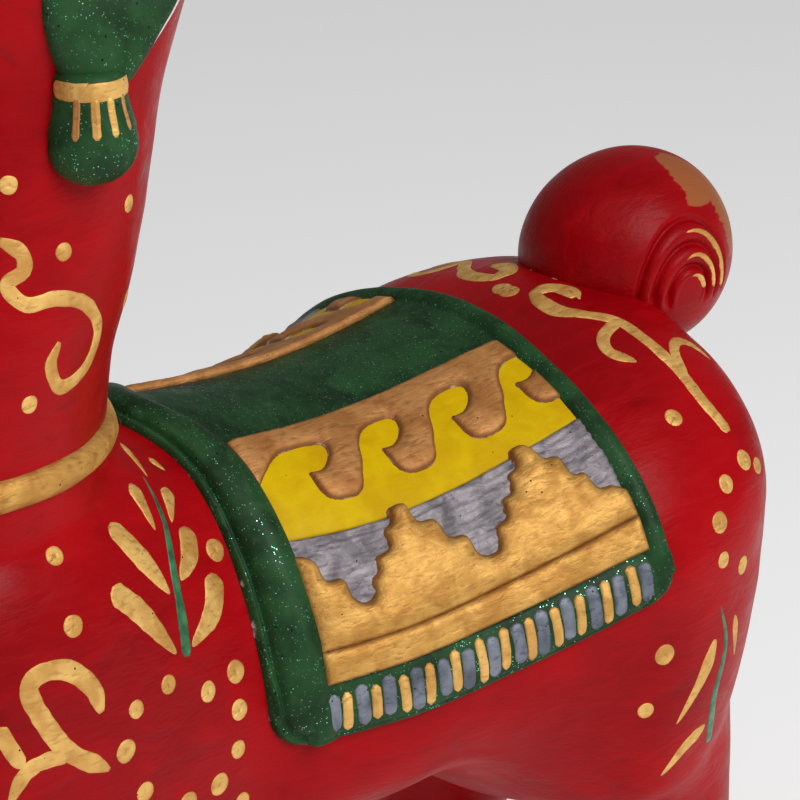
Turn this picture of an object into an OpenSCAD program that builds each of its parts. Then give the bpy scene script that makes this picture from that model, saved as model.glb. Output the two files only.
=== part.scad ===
// Painted wooden llama that stands on four legs and wears a knitted-style cap and a saddle cloth.
// The carved blanks are joined with dowels. Cap, collar and saddle cloth are applied relief.
// +X points to the head, +Y to the animal's left, +Z up. The origin is on the ground under its middle.

/* [Body] */
// Height of the flat underside that the legs join
leg_joint_z = 68; // [66:1:70]
// Squareness of the underside at the legs, 2 is an ellipse
under_power = 2.5; // [2.2:0.1:3]

/* [Neck and head] */
// Radius of the round seat that the collar sits on
seat_r = 27.2; // [27:0.1:28]
// Half height of the collar seat
seat_h = 3; // [2.5:0.5:4]
// Forward tilt of the collar and the neck joint in degrees
collar_tilt = 0; // [0:1:4]
// Height of the joint between neck and head
head_joint_z = 210; // [208:1:212]
// Length of each ear
ear_len = 27; // [22:1:30]

/* [Tail] */
// Radius of the curled tail
tail_r = 17; // [16:0.5:18]
// Depth of the scroll grooves on the sides of the tail
scroll_depth = 1.2; // [0.6:0.2:1.6]

/* [Cap] */
// Outer radius of the cap
cap_r = 32; // [31:0.5:33]
// Backward tilt of the cap in degrees
cap_tilt = 12; // [8:1:14]
// Width of the trim band along the brim
band_w = 5; // [4:0.5:6]
// Radius of the pompom
pompom_r = 8; // [6:0.5:9]
// Radius of the tassel under each earflap
tassel_r = 5.6; // [5:0.1:6]

/* [Collar] */
// Height of the collar
collar_w = 5.2; // [4:0.2:6]
// How far the collar stands out of the neck
collar_proud = 2.4; // [1.6:0.2:3]

/* [Saddle cloth] */
// Thickness of the cloth under the panels
cloth_t = 1.2; // [1:0.1:1.6]
// Extra thickness of the rolled border
roll_t = 1.8; // [1.4:0.1:2.2]
// Thickness of the flat coloured grounds
ground_t = 0.6; // [0.5:0.1:0.8]
// Thickness of the raised figures on the grounds
relief_t = 1.1; // [0.8:0.1:1.4]
// Number of wave hooks on each side
hooks = 4; // [3:1:5]

/* [Joinery] */
// Diameter of the leg dowels
leg_dowel_d = 8; // [6:1:10]
// Diameter of the neck dowel
neck_dowel_d = 16; // [12:1:18]
// Diameter of the head dowel
head_dowel_d = 12; // [10:1:14]
// Diameter of the tail dowel
tail_dowel_d = 8; // [6:1:9]
// Thickness of the felt pads under the feet
pad_t = 2; // [1.5:0.5:3]

/* [Hidden] */

red = "#b01218";
green = "#23512f";
gold = "#c9963f";
bronze = "#a06a3a";
yellow = "#d8b80a";
silver = "#85858f";
wood = "#d9bd8c";
felt = "#3a3a38";

// Body sections from tail to chest: x, height of the widest line, half width,
// rise above that line, drop below it, squareness of the upper half
TORSO = [
    [-87, 114, 0, 0, 0, 2],
    [-85, 114, 13, 11, 15, 2],
    [-78.5, 114, 24, 13.5, 42, 2],
    [-67, 114, 42.3, 27, 52, 2],
    [-53.5, 108, 48.4, 34.6, 69, 2],
    [-39.3, 106.5, 48.8, 32.9, 75, 2],
    [-36, 105.6, 47.9, 33.3, 64, 2],
    [-24, 101.6, 44.7, 35.4, 39, 2],
    [-12, 98.6, 42.3, 37, 24, 2],
    [3, 95.5, 39.9, 40.3, 21, 2],
    [18.2, 93.2, 35.7, 44.8, 24, 2],
    [25.9, 92.6, 33.6, 46.8, 36, 2],
    [41, 93, 35, 51, 70, 2.5],
    [58, 94, 36.5, 52, 90, 3.1],
    [74, 95, 35, 50.5, 82, 3],
    [86, 96, 26.5, 38, 50, 2.4],
    [92.5, 97, 12, 20, 26, 2],
    [94.5, 97, 0, 0, 0, 2]
];

// Head sections from nape to nose, in the same columns
HEAD = [
    [14, 228.5, 0, 0, 0, 2],
    [16, 228.5, 11, 11, 11, 2],
    [24, 228.5, 22, 21, 21, 2],
    [37, 229.5, 28, 26.5, 27, 2],
    [49, 229.5, 29, 27.5, 28, 2],
    [61, 228.5, 25.5, 24, 21, 2],
    [71, 226.5, 19, 17.5, 14, 2.2],
    [81, 224.5, 15, 12.5, 11.5, 2.4],
    [89, 223, 12.5, 10, 10, 2.4],
    [94, 222, 7, 6, 6, 2.2],
    [95.5, 222, 0, 0, 0, 2]
];

// Neck rings above the collar seat: centre x, centre z, forward tilt, half length, half width
NECK = [
    [62.7, 154.5, 3, 28.6, 28.2],
    [60, 165, 5, 27.7, 27.1],
    [55.1, 178.5, 6, 26.9, 26.4],
    [50.4, 193, 6, 27.3, 26.7],
    [47.7, 204, 3, 27.1, 26.5],
    [46.8, 210, 0, 25.6, 25.2]
];

// Leg rings from the joint down: height above the ground, centre x, centre y, half length, half width
FRONT_LEG = [
    [68, 60, 19, 18, 16],
    [54, 60, 19.3, 15.2, 14],
    [38, 60.5, 20, 12.8, 12.2],
    [22, 61, 20.3, 11.8, 11.4],
    [9, 62.5, 20.5, 13.8, 12.8],
    [2, 63.5, 20.5, 14.6, 13.4]
];
REAR_LEG = [
    [68, -53.5, 28, 16.5, 16],
    [54, -56, 28, 15, 14.2],
    [42, -58.5, 27.6, 13.4, 12.6],
    [24, -59, 27.2, 11.9, 11.6],
    [9, -57.5, 27, 13.8, 13],
    [2, -56.5, 27, 14.6, 13.6]
];

ring_x = 63.5;
ring_z = 146.4;
tail_c = [-76.7, 0, 143];
tail_dowel_c = [-65.7, 0, 121];
head_dowel_x = 46.8;
ear_c = [38, 21, 246];
cap_c = [43, 0, 228.5];
cap_brim = -3;
cap_height = 29;
flap_x = 45.2;
cheek_x = 48.5;
flap_y = 30.8;
flap_z = 198.4;
flap_top = 236;
tassel_c = [48.4, 27.4, 191.7];
stump_len = 34;
stump_r = 30;

cloth_rear = -39.3;
cloth_front = 25.9;
panel_rear = -36;
panel_front = 18.2;

// Angles of the lines that run along the cloth, from the spine down, at its rear and front edge
LINE_REAR = [0, 16, 39.5, 64, 73, 87.3, 180];
LINE_FRONT = [0, 23.5, 46, 67.4, 74.4, 84.3, 180];
// How far each of them bows down between the two edges, in degrees
LINE_BOW = [0, -2.3, 1.2, 0, -0.7, 0.6, 0];
// Number of the grid line on which each of them lies
LINE_J = [0, 3, 7, 10, 11, 14, 20];
wave_a = 35.5;
hill_a = 58;
cut_lo = 60;
cut_hi = 190;

// ---- rules shared by all carved surfaces ----

function lerp(a, b, t) = a + (b - a) * t;
function clamp(v, lo, hi) = min(max(v, lo), hi);
function gap(a, b) = norm([b[0] - a[0], b[2] - a[2]]);

// Slope of the smooth curve through rows R at row i; closed ends swell out at right angles
function slope(R, i, closed) =
    let (n = len(R) - 1)
    i == 0 ? (closed ? swell(R[1], gap(R[0], R[1])) : (R[1] - R[0]) / gap(R[0], R[1])) :
    i == n ? (closed ? -swell(R[n - 1], gap(R[n - 1], R[n])) : (R[n] - R[n - 1]) / gap(R[n - 1], R[n])) :
    let (h0 = gap(R[i - 1], R[i]), h1 = gap(R[i], R[i + 1]))
    ((R[i + 1] - R[i]) * h0 / h1 + (R[i] - R[i - 1]) * h1 / h0) / (h0 + h1);

function swell(row, h) = [0, 0, row[2] / h, row[3] / h, row[4] / h, 0];

// Row at fraction t between rows i and i + 1
function between(R, i, t, closed) =
    let (
        h = gap(R[i], R[i + 1]),
        a = slope(R, i, closed) * h,
        b = slope(R, i + 1, closed) * h,
        t2 = t * t,
        t3 = t2 * t
    )
    R[i] * (2 * t3 - 3 * t2 + 1) + a * (t3 - 2 * t2 + t) + R[i + 1] * (3 * t2 - 2 * t3) + b * (t3 - t2);

// All rows of a loft, steps per station; a closed end starts and stops just short of its pole
function rows(R, steps, closed) =
    let (n = len(R) - 1, pole = 0.12)
    concat(
        [closed ? between(R, 0, pole, true) : R[0]],
        [for (k = [1 : n * steps - 1]) between(R, floor(k / steps), (k % steps) / steps, closed)],
        [closed ? between(R, n - 1, 1 - pole, true) : R[n]]
    );

// Point of a body section at an angle from the top, moved out by off
function section(row, phi, off, floor_z) =
    let (
        c = cos(phi),
        s = sin(phi),
        h = c < 0 ? row[4] : row[3],
        e = 2 / (c < 0 ? under_power : row[5]),
        y = row[2] * sign(s) * pow(abs(s), e),
        z = h * sign(c) * pow(abs(c), e),
        n = [s / row[2], c / h],
        u = n / norm(n)
    )
    [row[0], y + off * u[0], max(row[1] + z + off * u[1], floor_z)];

// Closed skin over rings that all have the same number of points
module skin(rings) {
    n = len(rings[0]);
    m = len(rings);
    points = [for (ring = rings, p = ring) p];
    sides = [
        for (i = [0 : m - 2], j = [0 : n - 1])
            let (a = i * n + j, b = i * n + (j + 1) % n)
            each [[a, b, a + n], [b, b + n, a + n]]
    ];
    caps = [[for (j = [n - 1 : -1 : 0]) j], [for (j = [0 : n - 1]) (m - 1) * n + j]];
    polyhedron(points, concat(sides, caps));
}

// Slab between an outer and an inner grid of points
module slab(outer_grid, inner_grid) {
    m = len(outer_grid);
    n = len(outer_grid[0]);
    k = m * n;
    points = concat([for (r = outer_grid, p = r) p], [for (r = inner_grid, p = r) p]);
    top = [
        for (i = [0 : m - 2], j = [0 : n - 2])
            let (a = i * n + j)
            each [[a, a + 1, a + n], [a + 1, a + n + 1, a + n]]
    ];
    under = [for (f = top) [f[2] + k, f[1] + k, f[0] + k]];
    rim = concat(
        [for (j = [0 : n - 2]) j],
        [for (i = [0 : m - 2]) i * n + n - 1],
        [for (j = [n - 1 : -1 : 1]) (m - 1) * n + j],
        [for (i = [m - 1 : -1 : 1]) i * n]
    );
    walls = [
        for (q = [0 : len(rim) - 1])
            let (a = rim[q], b = rim[(q + 1) % len(rim)])
            each [[b, a, a + k], [b, a + k, b + k]]
    ];
    polyhedron(points, concat(top, under, walls));
}

// ---- body grid: every line of the saddle cloth is also a grid line of the torso ----

function line_phi(x, k) =
    let (t = clamp((x - cloth_rear) / (cloth_front - cloth_rear), 0, 1))
    lerp(LINE_REAR[k], LINE_FRONT[k], t) + 4 * LINE_BOW[k] * t * (1 - t);

function grid_phi(x, j) =
    let (
        a = abs(j),
        k = max([for (q = [0 : len(LINE_J) - 2]) if (LINE_J[q] <= a) q]),
        t = (a - LINE_J[k]) / (LINE_J[k + 1] - LINE_J[k])
    )
    (j < 0 ? -1 : 1) * lerp(line_phi(x, k), line_phi(x, k + 1), t);

BODY_ROWS = rows(TORSO, 3, true);
CLOTH_ROWS = [for (r = BODY_ROWS) if (r[0] > cloth_rear - 0.1 && r[0] < cloth_front + 0.1) r];
PANEL_ROWS = [for (r = CLOTH_ROWS) if (r[0] > panel_rear - 0.1 && r[0] < panel_front + 0.1) r];

function body_grid(some_rows, j0, j1, off) =
    [for (r = some_rows) [for (j = [j0 : j1]) section(r, grid_phi(r[0], j), off, leg_joint_z)]];

// Soft hump that is 0 at both ends of the range
function hump(v, a, b) = v <= min(a, b) || v >= max(a, b) ? 0 : pow(sin(180 * (v - a) / (b - a)), 0.6);

function cloth_off(x, j) =
    cloth_t + roll_t * max(
        hump(x, cloth_rear - 0.6, panel_rear + 0.8),
        hump(x, panel_front, cloth_front + 1.5),
        0.7 * hump(abs(j), LINE_J[4], LINE_J[5] + 0.6)
    );

// Flat layer of the panel between two grid lines and two heights above the body
module panel_layer(j0, j1, low, high) {
    slab(body_grid(PANEL_ROWS, j0, j1, high), body_grid(PANEL_ROWS, j0, j1, low));
}

// Body row at a share s of the panel, from its front edge to its rear edge
function panel_row(s) =
    let (
        x = lerp(panel_front, panel_rear, clamp(s, 0, 1)),
        k = max([for (q = [0 : len(PANEL_ROWS) - 2]) if (PANEL_ROWS[q][0] <= x + 0.001) q]),
        a = PANEL_ROWS[k],
        b = PANEL_ROWS[k + 1]
    )
    lerp(a, b, (x - a[0]) / (b[0] - a[0]));

// Place on a drawing plane tilted by a, at share s along and share f between lines k and k + 1
function on_plane(s, f, k, a) =
    let (
        row = panel_row(s),
        phi = lerp(line_phi(row[0], k), line_phi(row[0], k + 1), f),
        p = section(row, phi, 0, 0)
    )
    [lerp(panel_front, panel_rear, s), p[1] * cos(a) - p[2] * sin(a)];

module dab(s, f, k, a, r) {
    translate(on_plane(s, f, k, a)) circle(r, $fn = 14);
}

// Raises an outline drawn on the tilted plane through the whole side of the body
module through_side(a) {
    rotate([-a, 0, 0]) translate([0, 0, cut_lo]) linear_extrude(cut_hi - cut_lo) children();
}

module both_sides(side) {
    if (side > 0) children();
    else mirror([0, 1, 0]) children();
}

// ---- carved blanks ----

module at_collar() {
    translate([ring_x, 0, ring_z]) rotate([0, collar_tilt, 0]) children();
}

module body_solid() {
    skin([
        for (r = BODY_ROWS)
            [for (j = [-LINE_J[6] : LINE_J[6] - 1]) section(r, grid_phi(r[0], j), 0, leg_joint_z)]
    ]);
}

module torso() {
    color(red) difference() {
        union() {
            body_solid();
            at_collar() {
                translate([0, 0, -stump_len]) cylinder(h = stump_len - seat_h, r1 = stump_r, r2 = 28.2, $fn = 64);
                translate([0, 0, -seat_h - 0.01]) cylinder(h = seat_h + 0.01, r = seat_r, $fn = 64);
            }
        }
        at_collar() translate([0, 0, -26]) cylinder(h = 40, d = neck_dowel_d, $fn = 48);
        leg_dowel_set(14, 24);
        translate(tail_c) sphere(r = tail_r, $fn = 64);
        tail_dowel_at() cylinder(h = 40, d = tail_dowel_d, $fn = 32);
    }
}

module neck_solid() {
    seat = [
        for (z = [0, seat_h])
            [
                for (t = [0 : 10 : 350])
                    [
                        ring_x + seat_r * cos(t) * cos(collar_tilt) + z * sin(collar_tilt),
                        seat_r * sin(t),
                        ring_z - seat_r * cos(t) * sin(collar_tilt) + z * cos(collar_tilt)
                    ]
            ]
    ];
    shaft = [
        for (r = rows(NECK, 3, false))
            [
                for (t = [0 : 10 : 350])
                    [r[0] + r[3] * cos(t) * cos(r[2]), r[4] * sin(t), r[1] - r[3] * cos(t) * sin(r[2])]
            ]
    ];
    skin(concat(seat, shaft));
}

module neck() {
    color(red) difference() {
        neck_solid();
        at_collar() translate([0, 0, -1]) cylinder(h = 27, d = neck_dowel_d, $fn = 48);
        translate([head_dowel_x, 0, head_joint_z - 18]) cylinder(h = 30, d = head_dowel_d, $fn = 48);
    }
}

module head_solid() {
    skin([for (r = rows(HEAD, 3, true)) [for (phi = [-180 : 15 : 165]) section(r, phi, 0, head_joint_z)]]);
}

module head() {
    color(red) difference() {
        head_solid();
        translate([head_dowel_x, 0, head_joint_z - 1]) cylinder(h = 19, d = head_dowel_d, $fn = 48);
    }
}

module leg(rings, side) {
    color(red) difference() {
        both_sides(side) skin([
            for (r = rows(rings, 2, false))
                [for (t = [0 : 18 : 342]) [r[1] + r[3] * cos(t), r[2] + r[4] * sin(t), r[0]]]
        ]);
        leg_dowel_set(15, 24);
    }
}

module front_left_leg() { leg(leg_rings(FRONT_LEG), 1); }
module front_right_leg() { leg(leg_rings(FRONT_LEG), -1); }
module rear_left_leg() { leg(leg_rings(REAR_LEG), 1); }
module rear_right_leg() { leg(leg_rings(REAR_LEG), -1); }

// Leg rings between the chosen joint height and the felt pad, from the top down
function leg_rings(L) =
    let (n = len(L) - 1)
    [
        for (i = [0 : n])
            [lerp(pad_t, leg_joint_z, (L[i][0] - L[n][0]) / (L[0][0] - L[n][0])), L[i][1], L[i][2], L[i][3], L[i][4]]
    ];

// ---- joinery ----

module leg_dowel_set(below, above) {
    for (side = [-1, 1], leg = [FRONT_LEG, REAR_LEG])
        translate([leg[0][1], side * leg[0][2], leg_joint_z - below])
            cylinder(h = below + above, d = leg_dowel_d, $fn = 32);
}

module leg_dowels() { color(wood) leg_dowel_set(14, 23); }

module neck_dowel() {
    color(wood) at_collar() translate([0, 0, -25]) cylinder(h = 50, d = neck_dowel_d, $fn = 48);
}

module head_dowel() {
    color(wood) translate([head_dowel_x, 0, head_joint_z - 17]) cylinder(h = 34, d = head_dowel_d, $fn = 48);
}

module tail_dowel_at() {
    translate(tail_dowel_c) rotate([0, -27, 0]) children();
}

module tail_dowel() {
    color(wood) tail_dowel_at() cylinder(h = 30, d = tail_dowel_d, $fn = 32);
}

// ---- tail, ears ----

module tail() {
    color(red) difference() {
        translate(tail_c) sphere(r = tail_r, $fn = 64);
        for (side = [-1, 1], ring = [[9.5, 13.9], [5.2, 16]])
            translate(tail_c + [-3, side * ring[1], -3]) rotate([90, 0, 0])
                rotate_extrude($fn = 48) translate([ring[0], 0]) circle(scroll_depth, $fn = 16);
        tail_dowel_at() cylinder(h = 31, d = tail_dowel_d, $fn = 32);
    }
}

module ear(side) {
    color(red) difference() {
        translate([ear_c[0], side * ear_c[1], ear_c[2]]) rotate([-side * 18, -8, 0]) {
            hull() {
                sphere(r = 6, $fn = 24);
                translate([0, 0, ear_len * 0.5]) sphere(r = 6.2, $fn = 24);
                translate([2, 0, ear_len]) sphere(r = 2.2, $fn = 16);
            }
        }
        cap_dome(0);
    }
}

module ear_left() { ear(1); }
module ear_right() { ear(-1); }

// ---- cap ----

module at_cap() {
    translate(cap_c) rotate([0, -cap_tilt, 0]) children();
}

// Half outline of the cap, grown by off
module cap_outline(off) {
    polygon(concat(
        [[0, cap_brim], [cap_r + off, cap_brim]],
        [
            for (t = [0 : 7.5 : 90])
                [(cap_r + off) * pow(cos(t), 0.85), (cap_height + off) * pow(sin(t), 0.95)]
        ]
    ));
}

module cap_dome(off) {
    at_cap() rotate_extrude($fn = 64) cap_outline(off);
}

module cap_crown() {
    color(green) difference() {
        cap_dome(0);
        head_solid();
        neck_solid();
    }
}

module cap_band() {
    color(gold) at_cap() translate([0, 0, cap_brim + band_w / 2]) rotate_extrude($fn = 64)
        difference() {
            translate([cap_r - 0.2, 0]) scale([0.4, 1]) circle(band_w / 2, $fn = 32);
            translate([0, -band_w]) square([cap_r, 2 * band_w]);
        }
}

module pompom() {
    color(gold) at_cap() {
        difference() {
            translate([0, 0, cap_height + pompom_r * 0.8]) sphere(r = pompom_r, $fn = 48);
            rotate_extrude($fn = 64) cap_outline(0);
        }
    }
}

// Half width of the earflap at a share t of its height, 0 at the tassel and 1 under the brim
function flap_half(t) = lerp(4.6, 15, pow(t, 1.1));

module earflap_outline() {
    polygon(concat(
        [for (t = [0 : 0.1 : 1]) [lerp(tassel_c[0], flap_x, t) + flap_half(t), lerp(flap_z, flap_top, t)]],
        [for (t = [1 : -0.1 : -0.01]) [lerp(tassel_c[0], flap_x, t) - flap_half(t), lerp(flap_z, flap_top, t)]]
    ));
}

module earflap_solid(side) {
    both_sides(side) intersection() {
        translate([0, flap_y + 6, 0]) rotate([90, 0, 0]) linear_extrude(flap_y - 8) earflap_outline();
        translate([44.5, -14, flap_z - 10]) cylinder(h = 50, r = flap_y + 14, $fn = 96);
    }
}

// Round stand-in for the cheek and the top of the neck, which the flaps and tassels lie against
module cheek_core() {
    translate([cheek_x, 0, 0]) rotate_extrude($fn = 96) polygon([
        [0, 176], [27, 176], [26.6, 186], [26.7, 198], [26, 208], [27.5, 218.5], [29, 229.5], [28, 240.5], [0, 240.5]
    ]);
}

module earflap(side) {
    color(green) difference() {
        earflap_solid(side);
        cheek_core();
        cap_dome(0);
    }
}

module earflap_left() { earflap(1); }
module earflap_right() { earflap(-1); }

module tassel(side) {
    color(green) difference() {
        both_sides(side) translate(tassel_c) rotate_extrude($fn = 48) polygon(concat(
            [for (t = [-90 : 9 : 45]) [tassel_r * cos(t), tassel_r * 1.1 * sin(t)]],
            [[4, flap_z - tassel_c[2]], [0, flap_z - tassel_c[2]]]
        ));
        cheek_core();
    }
}

module tassel_left() { tassel(1); }
module tassel_right() { tassel(-1); }

module collar() {
    color(gold) at_collar() rotate_extrude($fn = 64) difference() {
        translate([seat_r, 0]) scale([collar_proud / (collar_w / 2), 1]) circle(collar_w / 2, $fn = 32);
        translate([0, -collar_w]) square([seat_r, 2 * collar_w]);
    }
}

// ---- saddle cloth ----

module saddle_cloth() {
    color(green) slab(
        [
            for (r = CLOTH_ROWS)
                [
                    for (j = [-LINE_J[5] : LINE_J[5]])
                        section(r, grid_phi(r[0], j), cloth_off(r[0], j), leg_joint_z)
                ]
        ],
        body_grid(CLOTH_ROWS, -LINE_J[5], LINE_J[5], 0)
    );
}

module yellow_ground(side) {
    color(yellow) both_sides(side) panel_layer(LINE_J[1], LINE_J[2], cloth_t, cloth_t + ground_t);
}

module silver_ground(side) {
    color(silver) both_sides(side) panel_layer(LINE_J[2], LINE_J[3], cloth_t, cloth_t + ground_t);
}

module yellow_ground_left() { yellow_ground(1); }
module yellow_ground_right() { yellow_ground(-1); }
module silver_ground_left() { silver_ground(1); }
module silver_ground_right() { silver_ground(-1); }

// Comma-shaped hook that hangs from the top strip, s is the share along the panel of its tip
module hook_outline(s) {
    path = [[0.19, 0.2, 3.2], [0.13, 0.46, 2.4], [0.07, 0.66, 2.7], [0.03, 0.68, 2.4], [-0.005, 0.5, 0.7]];
    for (q = [0 : len(path) - 2])
        hull() {
            dab(s + path[q][0], path[q][1], 1, wave_a, path[q][2]);
            dab(s + path[q + 1][0], path[q + 1][1], 1, wave_a, path[q + 1][2]);
        }
}

module wave_relief(side) {
    color(bronze) both_sides(side) intersection() {
        panel_layer(LINE_J[1], LINE_J[2], cloth_t + ground_t, cloth_t + ground_t + relief_t);
        through_side(wave_a) union() {
            polygon(concat(
                [for (s = [0 : 0.1 : 1]) on_plane(s, -0.2, 1, wave_a)],
                [for (s = [1 : -0.1 : 0]) on_plane(s, 0.27, 1, wave_a)]
            ));
            for (h = [0 : hooks - 1]) hook_outline(0.19 + h / hooks);
        }
    }
}

module wave_relief_left() { wave_relief(1); }
module wave_relief_right() { wave_relief(-1); }

// Stepped hill with its top at share s of the panel
module hill_outline(s) {
    for (step = [[0.03, 0], [0.09, 0.3], [0.15, 0.55], [0.2, 0.75]])
        hull() {
            dab(s - step[0], step[1] + 0.12, 2, hill_a, 1.2);
            dab(s + step[0], step[1] + 0.12, 2, hill_a, 1.2);
            dab(s - step[0], 1.2, 2, hill_a, 1.2);
            dab(s + step[0], 1.2, 2, hill_a, 1.2);
        }
}

module mountain_relief(side) {
    color(gold) both_sides(side) intersection() {
        panel_layer(LINE_J[2], LINE_J[3], cloth_t + ground_t, cloth_t + ground_t + relief_t);
        through_side(hill_a) for (s = [0.02, 0.46, 0.88]) hill_outline(s);
    }
}

module mountain_relief_left() { mountain_relief(1); }
module mountain_relief_right() { mountain_relief(-1); }

module hem_bar(side) {
    color(gold) both_sides(side) panel_layer(LINE_J[3], LINE_J[4], cloth_t, cloth_t + ground_t + relief_t);
}

module hem_bar_left() { hem_bar(1); }
module hem_bar_right() { hem_bar(-1); }

// ---- feet ----

module felt_pads() {
    color(felt)
        for (side = [-1, 1], leg = [FRONT_LEG, REAR_LEG])
            translate([leg[5][1], side * leg[5][2], 0]) cylinder(h = pad_t, r = 12, $fn = 48);
}

torso();
neck();
head();
front_left_leg();
front_right_leg();
rear_left_leg();
rear_right_leg();
leg_dowels();
neck_dowel();
head_dowel();
tail();
tail_dowel();
ear_left();
ear_right();
cap_crown();
cap_band();
pompom();
earflap_left();
earflap_right();
tassel_left();
tassel_right();
collar();
saddle_cloth();
yellow_ground_left();
yellow_ground_right();
silver_ground_left();
silver_ground_right();
wave_relief_left();
wave_relief_right();
mountain_relief_left();
mountain_relief_right();
hem_bar_left();
hem_bar_right();
felt_pads();
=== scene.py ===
import math
import random

import bmesh
import bpy
import numpy as np
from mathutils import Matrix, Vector, noise
from mathutils.bvhtree import BVHTree


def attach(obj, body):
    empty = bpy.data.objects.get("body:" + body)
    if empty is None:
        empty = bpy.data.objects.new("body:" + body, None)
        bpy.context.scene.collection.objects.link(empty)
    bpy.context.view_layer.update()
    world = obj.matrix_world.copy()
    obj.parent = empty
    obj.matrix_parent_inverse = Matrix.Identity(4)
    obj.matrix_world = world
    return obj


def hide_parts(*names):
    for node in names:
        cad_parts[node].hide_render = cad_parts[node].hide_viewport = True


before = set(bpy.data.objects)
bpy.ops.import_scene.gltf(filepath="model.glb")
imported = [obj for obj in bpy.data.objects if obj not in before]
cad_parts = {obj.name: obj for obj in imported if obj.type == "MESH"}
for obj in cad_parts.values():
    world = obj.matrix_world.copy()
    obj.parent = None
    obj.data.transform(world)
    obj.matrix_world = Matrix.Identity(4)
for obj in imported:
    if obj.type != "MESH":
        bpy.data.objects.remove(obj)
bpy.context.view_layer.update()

# All shapes are worked out in millimetres in the frame of the CAD model and turned into metres at the end.
MM = 0.001
random.seed(11)

# ---- carved sections, after the CAD model's ----

# The torso's table is the CAD's. The others follow it closely, and the neck is made a little fuller
# to meet the photo's outline.

# From tail to chest: x, height of the widest line, half width, rise, drop, squareness of the upper half
TORSO = [
    [-87, 114, 0, 0, 0, 2], [-85, 114, 13, 11, 15, 2], [-78.5, 114, 24, 13.5, 42, 2],
    [-67, 114, 42.3, 27, 52, 2], [-53.5, 108, 48.4, 34.6, 69, 2], [-39.3, 106.5, 48.8, 32.9, 75, 2],
    [-36, 105.6, 47.9, 33.3, 64, 2], [-24, 101.6, 44.7, 35.4, 39, 2], [-12, 98.6, 42.3, 37, 24, 2],
    [3, 95.5, 39.9, 40.3, 21, 2], [18.2, 93.2, 35.7, 44.8, 24, 2], [25.9, 92.6, 33.6, 46.8, 36, 2],
    [41, 93, 35, 51, 70, 2.5], [58, 94, 36.5, 52, 90, 3.1], [74, 95, 35, 50.5, 82, 3],
    [86, 96, 26.5, 38, 50, 2.4], [92.5, 97, 12, 20, 26, 2], [94.5, 97, 0, 0, 0, 2],
]
# From nape to nose, in the same columns
HEAD = [
    [14, 228.5, 0, 0, 0, 2], [16, 228.5, 11, 11, 11, 2], [24, 228.5, 22, 21, 21, 2],
    [37, 229.5, 28, 26.5, 27, 2], [49, 229.5, 29, 27.5, 28, 2], [61, 228.5, 25.5, 24, 21, 2],
    [71, 226.5, 19, 17.5, 14, 2.2], [81, 224.5, 15, 12.5, 11.5, 2.4], [89, 223, 12.5, 10, 10, 2.4],
    [93.5, 222, 7.5, 6.5, 6.5, 2.2], [95.3, 222, 0, 0, 0, 2],
]
# Rings of the neck: centre x, centre z, forward tilt, half length, half width
NECK = [
    [64, 122, 0, 30, 27], [64, 134, 0, 30, 28], [63.5, 146.4, 0, 28.2, 28.2], [62.7, 154.5, 3, 28.6, 28.2],
    [59.2, 165, 5, 29.1, 28.4], [54.4, 178.5, 6, 28.2, 27.6], [50.2, 193, 6, 27.3, 26.8],
    [47.2, 204, 3, 27.9, 27.1], [45.6, 214, 0, 30.0, 28.8], [45.4, 224, 0, 28.5, 27.5],
]
# Leg rings: height, centre x, centre y, half length, half width
FRONT_LEG = [
    [84, 60, 19, 17, 14], [68, 60, 19, 17.5, 15.6], [54, 60, 19.3, 15.2, 14], [38, 60.5, 20, 12.8, 12.2],
    [22, 61, 20.3, 11.8, 11.4], [9, 62.5, 20.5, 13.8, 12.8], [4, 63.3, 20.5, 14.5, 13.3],
    [2, 63.5, 20.5, 13.4, 12.4],
]
REAR_LEG = [
    [84, -53, 28, 16, 14], [68, -53.5, 28, 16.5, 16], [54, -56, 28, 15, 14.2], [42, -58.5, 27.6, 13.4, 12.6],
    [24, -59, 27.2, 11.9, 11.6], [9, -57.5, 27, 13.8, 13], [4, -56.7, 27, 14.5, 13.5],
    [2, -56.5, 27, 13.4, 12.5],
]
UNDER_POWER = 2.5
SOLE = 2.0
LEG_JOINT = 68.0
COLLAR = (63.5, 0.0, 146.4)
HEAD_JOINT = 210.0
TAIL = np.array([-76.7, 0.0, 143.0])
TAIL_R = 17.0

# Lines that run along the saddle cloth, as angles from the spine at its rear and front edge, and their bow
CLOTH_X = (-39.3, 25.9)
PANEL_X = (-36.0, 18.2)
LINES = {
    "top": (16.0, 23.5, -2.3), "middle": (39.5, 46.0, 1.2), "groove": (64.0, 67.4, 0.0),
    "bottom": (73.0, 74.4, -0.7), "hem": (87.3, 84.3, 0.6),
}


def step_size(a, b, along):
    """Distance between two rows of a table, counted in the columns along."""
    return math.hypot(*(b[k] - a[k] for k in along))


def slopes(rows, closed, along):
    """Tangent at each row; at a closed end the section opens at a right angle to the axis."""
    n = len(rows) - 1
    out = []
    for i in range(n + 1):
        if i == 0 or i == n:
            a, b = (rows[0], rows[1]) if i == 0 else (rows[n - 1], rows[n])
            h = step_size(a, b, along)
            if not closed:
                out.append((b - a) / h)
                continue
            full = b if i == 0 else a
            swell = np.zeros(len(a))
            swell[2:5] = full[2:5] / h
            out.append(swell if i == 0 else -swell)
        else:
            h0 = step_size(rows[i - 1], rows[i], along)
            h1 = step_size(rows[i], rows[i + 1], along)
            out.append(((rows[i + 1] - rows[i]) * h0 / h1 + (rows[i] - rows[i - 1]) * h1 / h0) / (h0 + h1))
    return out


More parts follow.
